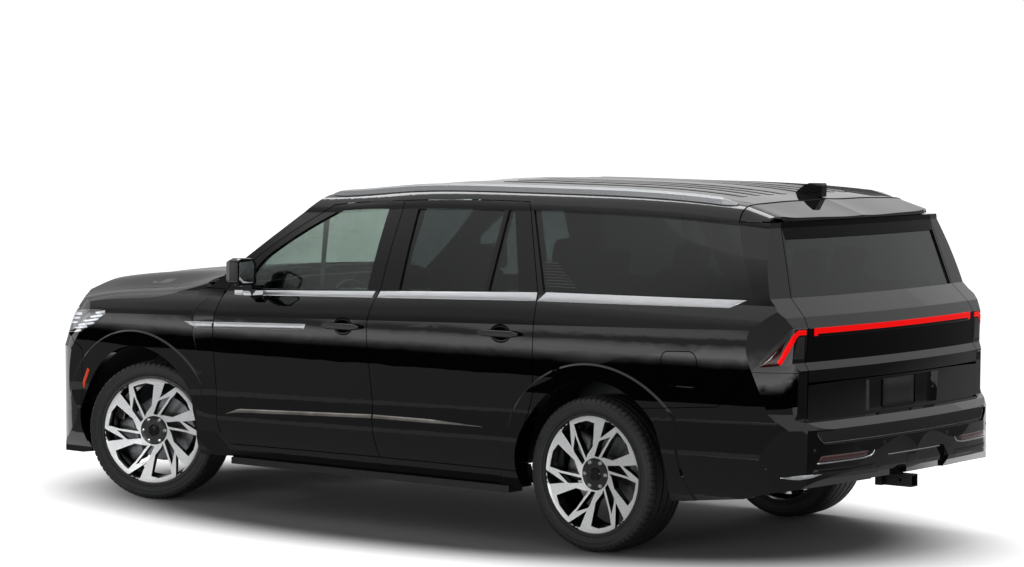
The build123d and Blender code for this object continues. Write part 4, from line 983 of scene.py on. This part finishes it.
class SUV_OT_front_dress(bpy.types.Operator):
    """Frames the grille and adds the bumper's sensors and wipers"""
    bl_idname = "suv.front_dress"
    bl_label = "Front trims"

    def execute(self, context):
        edge = [(0, 0, 1068), (0, 492, 1068), (0, 528, 1014), (0, 528, 606), (0, 492, 532),
                (0, 0, 532)]
        for side in SIDES:
            relief("grille_frame_left", along(edge, 18, 80, FORWARD), FORWARD, ["grille"], 9.0,
                   satin_aluminium, "body", side)
            for k, y in enumerate((780, 620)):
                stud(f"front_sensor_{k + 1}_left", (0, y, 560), FORWARD, ["front_bumper"], 9.0, 1.5,
                     polished_black_asa, "body", side)
            self.wiper(side)
        return {"FINISHED"}

    def wiper(self, side):
        """Arm and blade parked on the windscreen."""
        rows = along([(1250, 700, 1500), (1330, 380, 1500), (1360, 60, 1500)], 16, 30, DOWN)
        relief("wiper_left", rows, DOWN, ["fixed_glass"], 14.0, grained_black_polypropylene,
               "body", side)


class SUV_OT_mirrors(bpy.types.Operator):
    """Fits glass and lamp strips to the mirrors"""
    bl_idname = "suv.mirrors"
    bl_label = "Mirrors"

    def execute(self, context):
        for side in SIDES:
            low = [(0, 1058, 1310), (0, 1150, 1308), (0, 1172, 1326)]
            high = [(0, 1054, 1412), (0, 1072, 1430), (0, 1172, 1426)]
            relief("mirror_glass_left", between(low, high, 24, bevel=0.03), REARWARD,
                   ["mirror_left"], 1.5, dimming_mirror_glass, "mirror_left", side)
            relief("mirror_repeater_left", along([(0, 1066, 1356), (0, 1150, 1360)], 8, 14,
                                                 FORWARD), FORWARD, ["mirror_left"], 1.5,
                   amber_lens, "mirror_left", side)
        return {"FINISHED"}


# ---- wheels ---------------------------------------------------------------
CORNERS = [(end, side) for end in ("front", "rear") for side in SIDES]

# metres along a wheel's axle and out from it
SPOKE_FACE, HUB_R, RIM_R, DISC_R = 0.085, 0.085, 0.300, 0.195
LUG_NUT = [(0.080, 0.0005), (0.080, 0.0135), (0.101, 0.0125), (0.106, 0.009), (0.107, 0.0005)]
CENTRE_CAP = [(0.090, 0.0005), (0.090, 0.036), (0.101, 0.034), (0.103, 0.029), (0.1005, 0.027),
              (0.1015, 0.0005)]


def wheel_place(end, side):
    """Matrix of a wheel: local X out along its axle, local Z up."""
    joint = JOINTS[f"{end}_{side}_roll"]
    out = Vector(joint["axis"]).normalized()
    out = out if out.y * SIDES[side] > 0 else -out
    across = Vector((0, 0, 1)).cross(out)
    turn = Matrix((out, across, Vector((0, 0, 1)))).transposed().to_4x4()
    return Matrix.Translation(Vector(joint["pos_m"])) @ turn


def tyre_rows(depth, pitches):
    """Rings of points round a tyre, with straight grooves, shoulder cuts and a ribbed sidewall."""
    top, bead = 405.0, 322.5
    tread = [-104, -98, -97, -92, -91, -58, -57, -48, -47, -5, -4, 4, 5, 47, 48, 57, 58, 91, 92,
             97, 98, 104]
    cuts = {-97, -92, 92, 97, -57, -48, 48, 57, -4, 4}
    side = [(119.5, 313), (121.2, bead), (135.5, 323.5), (138.5, 330), (139.5, 336), (141.6, 338),
            (142.2, 352), (141.0, 354), (140.5, 372), (139, 374), (136.5, 384), (131, 392),
            (118, 399.5)]
    crown = lambda y: top - 3.2 * (abs(y) / 104.0) ** 2.2
    profile = [(-y, r, 0) for y, r in side] + [(y, crown(y), 1 if y in cuts else 2) for y in tread]
    profile += [(y, r, 0) for y, r in side[::-1]]
    rows = []
    for k in range(pitches):
        for j, share in enumerate((0.0, 0.74, 0.76, 0.98)):
            angle = 2 * math.pi * (k + share) / pitches
            row = []
            for y, r, kind in profile:
                cut = depth if kind == 1 else 0.0
                shoulder = abs(y) > 97.5 and r > 380
                if j >= 2 and shoulder:
                    cut = max(cut, 0.7 * depth)
                lean = 0.010 * (abs(y) - 60) / 60 if abs(y) > 60 and r > 380 else 0.0
                a = angle + lean
                row.append(Vector((y, (r - cut) * math.cos(a), (r - cut) * math.sin(a))) * MM)
            rows.append(row)
    return rows


class SUV_OT_tyres(bpy.types.Operator):
    """Replaces the plain tyres with grooved ones"""
    bl_idname = "suv.tyres"
    bl_label = "Tyres"

    def execute(self, context):
        sizes = context.scene.suv_wheels
        rows = tyre_rows(sizes.tread_depth, sizes.pitches)
        for end, side in CORNERS:
            where = wheel_place(end, side)
            bm, _ = from_grid([[where @ p for p in row] for row in rows], close_u=True,
                              close_v=True)
            made = piece(f"{end}_tread_{side}", bm, tyre_rubber, f"{end}_wheel_{side}",
                         sharp=30)
            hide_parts(f"{end}_tyre_{side}")
        return {"FINISHED"}


class SUV_OT_wheel_hardware(bpy.types.Operator):
    """Turned faces, lug nuts and centre caps on the wheels, with brake calipers behind"""
    bl_idname = "suv.wheel_hardware"
    bl_label = "Wheel hardware"

    def execute(self, context):
        sizes = context.scene.suv_wheels
        for end, side in CORNERS:
            where = wheel_place(end, side)
            body = f"{end}_wheel_{side}"
            self.faces(body, where)
            nuts = bmesh.new()
            for k in range(sizes.lugs):
                a = 2 * math.pi * k / sizes.lugs
                nut = revolve(LUG_NUT, 12)
                nut.transform(Matrix.Translation(Vector((0, math.cos(a),
                                                         math.sin(a))) * sizes.lug_circle * MM))
                merge(nuts, nut)
            nuts.transform(where)
            piece(f"{end}_lug_nuts_{side}", nuts, chrome_plate, body)
            cap = revolve(CENTRE_CAP, 48)
            cap.transform(where)
            piece(f"{end}_centre_cap_{side}", cap, polished_black_asa, body)
            turn = Matrix.Rotation(math.radians(110 if end == "front" else 70), 4, "X")
            spot = where @ turn @ Matrix.Translation((-0.045, 0, 0.205))
            boxed(f"{end}_caliper_{side}", (0.075, 0.26, 0.11), spot, caliper_casting, "iron",
                  f"steer_{side}" if end == "front" else "body", power=5, cuts=8)
        return {"FINISHED"}

    def faces(self, name, where):
        """Turned finish on the wheel's outermost faces, iron on the disc."""
        back = where.inverted()
        turn = back.to_3x3()

        def front(c, n):
            p, m = back @ c, turn @ n
            return m.x > 0.8 and p.x > SPOKE_FACE and HUB_R < math.hypot(p.y, p.z) < RIM_R

        def disc(c, n):
            p = back @ c
            return p.x < 0.0 and math.hypot(p.y, p.z) < DISC_R

        dress(name, turned_alloy, front)
        dress(name, turned_iron, disc)


# ---- cabin ----------------------------------------------------------------
SEATS = {"front_seat_left": 1, "front_seat_right": 1, "second_row_seat_left": 1,
         "second_row_seat_right": 1,
         "third_row_bench": 3}  # places in each
BACK_LEAN = math.radians(-14)
ON_END = Matrix.Rotation(math.radians(90), 4, "Y")


def pad(name, size, where, fill, **shape):
    """One upholstered pad; its fill is not used."""
    boxed(name, size, where, pebbled_leather, "leather_seat", **shape)


class SUV_OT_seats(bpy.types.Operator):
    """Replaces the plain seat solids with upholstered ones"""
    bl_idname = "suv.seats"
    bl_label = "Seats"

    def execute(self, context):
        crown = context.scene.suv_cabin.crown
        for name, places in SEATS.items():
            low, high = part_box(name)
            x, z = high.x - 0.5, low.z + 0.135 + (0.02 if places > 1 else 0.0)
            wide = (high.y - low.y) / places
            back = Matrix.Translation((x - 0.06, 0, z + 0.06)) @ Matrix.Rotation(BACK_LEAN, 4, "Y")
            for k in range(places):
                mid = low.y + wide * (k + 0.5)
                tag = f"{name}_{k + 1}" if places > 1 else name
                self.cushion(tag, x, mid, z, wide, crown)
                self.backrest(tag, back, mid, wide, crown)
            spot = Matrix.Translation((x + 0.19, (low.y + high.y) / 2, low.z + 0.076))
            shroud = boxed(name + "_shroud", (0.44, high.y - low.y - 0.08, 0.15), spot,
                           grained_black_polypropylene, "black_plastic", power=9, cuts=6)
            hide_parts(name)
        return {"FINISHED"}

    def cushion(self, tag, x, mid, z, wide, crown):
        """Seat cushion with two side bolsters."""
        pad(tag + "_cushion", (0.545, wide * 0.62, 0.15),
            Matrix.Translation((x + 0.22, mid, z + 0.078)), 0.6, crown=crown, channels=5, cuts=16)
        for hand, s in (("right", -1), ("left", 1)):
            spot = Matrix.Translation((x + 0.22, mid + s * wide * 0.40, z + 0.080))
            pad(f"{tag}_bolster_{hand}", (0.54, wide * 0.19, 0.165), spot, 0.7, power=4, crown=0.1)

    def backrest(self, tag, back, mid, wide, crown):
        """Backrest with wings and a headrest on two posts."""
        for part, share, off, thick, power, channels in (("back", 0.62, 0.0, 0.125, 6, 6),
                                                         ("wing_left", 0.19, 0.40, 0.15, 4, 0),
                                                         ("wing_right", 0.19, -0.40, 0.15, 4, 0)):
            spot = back @ Matrix.Translation((0.004, mid + off * wide, 0.325)) @ ON_END
            pad(f"{tag}_{part}", (0.66, wide * share, thick), spot, 0.6, power=power, crown=crown,
                channels=channels, cuts=14)
        spot = back @ Matrix.Translation((-0.008, mid, 0.722)) @ ON_END
        pad(tag + "_headrest", (0.145, min(0.26, wide * 0.6), 0.088), spot, 0.7, power=5,
            crown=crown)
        posts = bmesh.new()
        for s in (-1, 1):
            rod = revolve([(0.0, 0.0005), (0.0, 0.006), (0.05, 0.006), (0.05, 0.0005)], 16)
            rod.transform(back @ Matrix.Translation((-0.008, mid + s * 0.05, 0.62))
                          @ ON_END.inverted())
            merge(posts, rod)
        piece(tag + "_headrest_posts", posts, chrome_plate, "body")


class SUV_OT_cabin(bpy.types.Operator):
    """Adds the two displays of the dash"""
    bl_idname = "suv.cabin"
    bl_label = "Cabin"

    def execute(self, context):
        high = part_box("dashboard")[1]
        spot = Matrix.Translation((high.x - 0.22, 0, high.z + 0.035))
        boxed("panoramic_display", (0.02, 1.22, 0.12), spot, display_glass, "black_gloss", power=14)
        tilt = Matrix.Rotation(math.radians(-28), 4, "Y")
        spot = Matrix.Translation((high.x - 0.372, 0, high.z - 0.165)) @ tilt
        boxed("centre_display", (0.016, 0.28, 0.19), spot, display_glass, "black_gloss", power=14,
              cuts=8)
        return {"FINISHED"}


# ---- roof -----------------------------------------------------------------
class SUV_OT_roof_dress(bpy.types.Operator):
    """Adds the roof's pressed ribs and drip seals"""
    bl_idname = "suv.roof_dress"
    bl_label = "Roof trims"

    def execute(self, context):
        for side in SIDES:
            for k, y in enumerate((110, 230, 350, 470)):
                rows = along([(-480, y, 0), (-1300, y, 0), (-2060, y - 4, 0)], 44, 40, DOWN,
                             bevel=0.3)
                relief(f"roof_rib_{k + 1}_left", rows, DOWN, ["roof_panel"], 5.0,
                       clear_coated_black_paint, "body", side)
            rows = along([(700, 640, 0), (-400, 641, 0), (-2230, 640, 0)], 12, 60, DOWN)
            relief("drip_seal_left", rows, DOWN, ["roof_panel", "body_side_left"], 2.0,
                   polished_black_asa, "body", side)
        return {"FINISHED"}


# ---- stage ----------------------------------------------------------------
def levels(tree, source, stops):
    """Turns a 0 to 1 coordinate into brightness, through (position, level) stops."""
    ramp = node(tree, "ShaderNodeValToRGB", {"Fac": source})
    marks = ramp.color_ramp.elements
    while len(marks) < len(stops):
        marks.new(0.5)
    for mark, (position, level) in zip(marks, stops):
        mark.position, mark.color = position, (level, level, level, 1.0)
    return ramp.outputs["Color"]


def card(name, middle, across, up, wide, tall, rise, sweep=((0.0, 1.0), (1.0, 1.0)), back=0.0):
    """A studio wall seen only in reflections, bright on its side where the sweep runs rightwards.

    Its brightness rises by its stops, times its sweep from side to side; its other side has the
    back's level.
    """
    across, up = Vector(across).normalized(), Vector(up).normalized()
    rows = [[Vector((wide * (u - 0.5), 0, tall * (v - 0.5))) for u in (0, 0.5, 1)]
            for v in (0, 0.25, 0.5, 0.75, 1)]
    made = placed(name, as_mesh(name, from_grid(rows)[0]))
    turn = Matrix((across, up.cross(across), up)).transposed().to_4x4()
    made.matrix_world = Matrix.Translation(Vector(middle)) @ turn
    material, tree, shader = start(name + "_cloth", "#000000", 1.0, Specular_IOR_Level=0.0,
                                   Emission_Strength=1.0)
    spot = node(tree, "ShaderNodeTexCoord")
    parts = node(tree, "ShaderNodeSeparateXYZ", {"Vector": spot.outputs["Generated"]})
    front = node(tree, "ShaderNodeVectorMath",
                 {0: levels(tree, parts.outputs["Z"], rise),
                  1: levels(tree, parts.outputs["X"], sweep)}, operation="MULTIPLY")
    facing = node(tree, "ShaderNodeNewGeometry")
    tone = node(tree, "ShaderNodeMix", {0: facing.outputs["Backfacing"], 6: (back, back, back, 1.0),
                                        7: front.outputs["Vector"]}, data_type="RGBA")
    tree.links.new(tone.outputs[2], shader.inputs["Emission Color"])
    made.data.materials.append(material)
    made.visible_camera = made.visible_diffuse = False
    made.visible_shadow = made.visible_transmission = False


class SUV_OT_stage(bpy.types.Operator):
    """Sets the floor, world, lamps, reflection cards and camera"""
    bl_idname = "suv.stage"
    bl_label = "Stage"

    def execute(self, context):
        settings = context.scene.suv_stage
        context.scene.view_settings.view_transform = "Standard"
        self.floor()
        self.world(context.scene, settings.ambient)
        self.softbox("softbox_top", (0.5, -1.4, 6.0), (0.3, -0.6, 0), 9.0, 2.0,
                     1.9 * settings.softbox)
        self.softbox("softbox_left", (-1.0, 11.0, 1.0), (0, 0, 0.7), 6.0, 1.6,
                     2.1 * settings.softbox)
        upward = (0, 0, 1)
        side_rise = [(0.0, 0.42), (0.09, 0.42), (0.13, 1.3), (0.18, 1.3), (0.26, 0.4),
                     (0.39, 0.24), (0.5, 0.42), (0.65, 0.45), (0.85, 0.65), (1.0, 0.8)]
        card("wall_left", (7.32, 8.58, 4.5), (0.84, -0.54, 0), upward, 16.0, 9.0, side_rise,
             [(0.0, 1.0), (0.6, 1.0), (0.74, 1.6), (1.0, 1.6)])
        card("wall_camera", (-6.5, 11.0, 4.5), (1.0, 0.0, 0), upward, 14.0, 9.0,
             [(0.0, 0.03), (0.2, 0.05), (0.4, 0.4), (0.6, 0.9), (1.0, 1.0)])
        card("wall_rear", (-8.4, -6.8, 4.5), (-0.77, 0.63, 0), upward, 14.0, 9.0,
             [(0.0, 0.1), (0.1, 0.25), (0.3, 0.6), (1.0, 1.0)])
        card("wall_front", (9.5, -7.5, 4.5), (-0.77, -0.63, 0), upward, 18.0, 9.0,
             [(0.0, 0.38), (0.3, 0.4), (1.0, 0.6)],
             [(0.0, 1.0), (0.5, 1.0), (0.62, 1.8), (1.0, 1.8)])
        card("shelf_left", (4.0, 5.3, 0.8), (1, 0, 0), (0, 1, 0), 10.0, 8.0,
             [(0.0, 0.0), (0.044, 0.0), (0.069, 0.4), (0.112, 1.8), (0.175, 1.9), (0.41, 0.4),
              (1.0, 0.4)], back=0.2)
        card("shelf_rear_left", (-4.0, 5.03, 0.8), (1, 0, 0), (0, 1, 0), 6.0, 8.0,
             [(0.0, 0.0), (0.09, 0.0), (0.109, 0.3), (0.159, 2.4), (0.209, 2.2), (0.446, 0.5),
              (1.0, 0.4)], back=0.2)
        card("floor_left", (3.0, 5.7, 0.004), (1, 0, 0), (0, 1, 0), 24.0, 9.0,
             [(0.0, 0.26), (1.0, 0.26)])
        card("floor_rear", (-7.2, -6.2, 0.004), (0, 1, 0), (-1, 0, 0), 15.0, 9.0,
             [(0.0, 0.3), (0.3, 0.28), (0.5, 0.1), (1.0, 0.1)])
        self.camera(context.scene, settings)
        return {"FINISHED"}

    def floor(self):
        """Wide paper sweep under the vehicle."""
        rows = [[Vector((x * 20.0, y * 20.0, 0.0)) for y in (-3, -1, 0, 1, 3)]
                for x in (-3, -1, 0, 1, 3)]
        made = placed("floor", as_mesh("floor", from_grid(rows)[0]))
        made.data.materials.append(paper_floor())

    def world(self, scene, ambient):
        """Even light on surfaces, white to the eye and in reflections."""
        scene.world = bpy.data.worlds.new("studio")
        scene.world.use_nodes = True
        tree = scene.world.node_tree
        level = node(tree, "ShaderNodeMapRange",
                     {"Value": seen_directly(tree), "To Min": ambient, "To Max": 1.0})
        back = tree.nodes["Background"]
        back.inputs["Color"].default_value = (1, 1, 1, 1)
        tree.links.new(level.outputs["Result"], back.inputs["Strength"])

    def softbox(self, name, spot, aim, wide, tall, power):
        """One large area lamp."""
        lamp = bpy.data.lights.new(name, "AREA")
        lamp.shape = "RECTANGLE"
        lamp.size, lamp.size_y, lamp.energy = wide, tall, power
        made = placed(name, lamp)
        made.location = spot
        made.rotation_euler = (Vector(aim) - Vector(spot)).to_track_quat("-Z", "Y").to_euler()

    def camera(self, scene, settings):
        """A long lens from behind the vehicle's left side."""
        lens = bpy.data.cameras.new("camera")
        lens.lens, lens.sensor_width = settings.lens, 36.0
        lens.clip_start, lens.clip_end = 0.1, 200.0
        made = placed("camera", lens)
        made.location = settings.camera
        flat = math.cos(settings.pitch)
        aim = Vector((flat * math.cos(settings.heading), flat * math.sin(settings.heading),
                      math.sin(settings.pitch)))
        made.rotation_euler = aim.to_track_quat("-Z", "Y").to_euler()
        scene.camera = made


# ---- panel and run --------------------------------------------------------
GROUPS = {"suv_trim": SUV_PG_trim, "suv_wheels": SUV_PG_wheels, "suv_cabin": SUV_PG_cabin,
          "suv_stage": SUV_PG_stage}
STEPS = [SUV_OT_bodywork, SUV_OT_fender_skins, SUV_OT_bright_trim, SUV_OT_lamps, SUV_OT_rear_dress,
         SUV_OT_front_dress, SUV_OT_mirrors, SUV_OT_tyres, SUV_OT_wheel_hardware, SUV_OT_seats,
         SUV_OT_cabin, SUV_OT_roof_dress, SUV_OT_stage]


class SUV_PT_sidebar(bpy.types.Panel):
    """Lists the settings and steps in the 3D view's sidebar"""
    bl_label = "Full-size SUV"
    bl_idname = "SUV_PT_sidebar"
    bl_space_type = "VIEW_3D"
    bl_region_type = "UI"
    bl_category = "SUV"

    def draw(self, context):
        for name, group in GROUPS.items():
            for key in group.__annotations__:
                self.layout.prop(getattr(context.scene, name), key)
        for step in STEPS:
            self.layout.operator(step.bl_idname)


def register():
    for item in [*GROUPS.values(), *STEPS, SUV_PT_sidebar]:
        bpy.utils.register_class(item)
    for name, group in GROUPS.items():
        setattr(bpy.types.Scene, name, PointerProperty(type=group))


def unregister():
    for name in GROUPS:
        delattr(bpy.types.Scene, name)
    for item in [SUV_PT_sidebar, *STEPS[::-1], *GROUPS.values()]:
        bpy.utils.unregister_class(item)


def main():
    register()
    for step in STEPS:
        group, name = step.bl_idname.split(".")
        getattr(getattr(bpy.ops, group), name)()


if __name__ == "__main__":
    main()
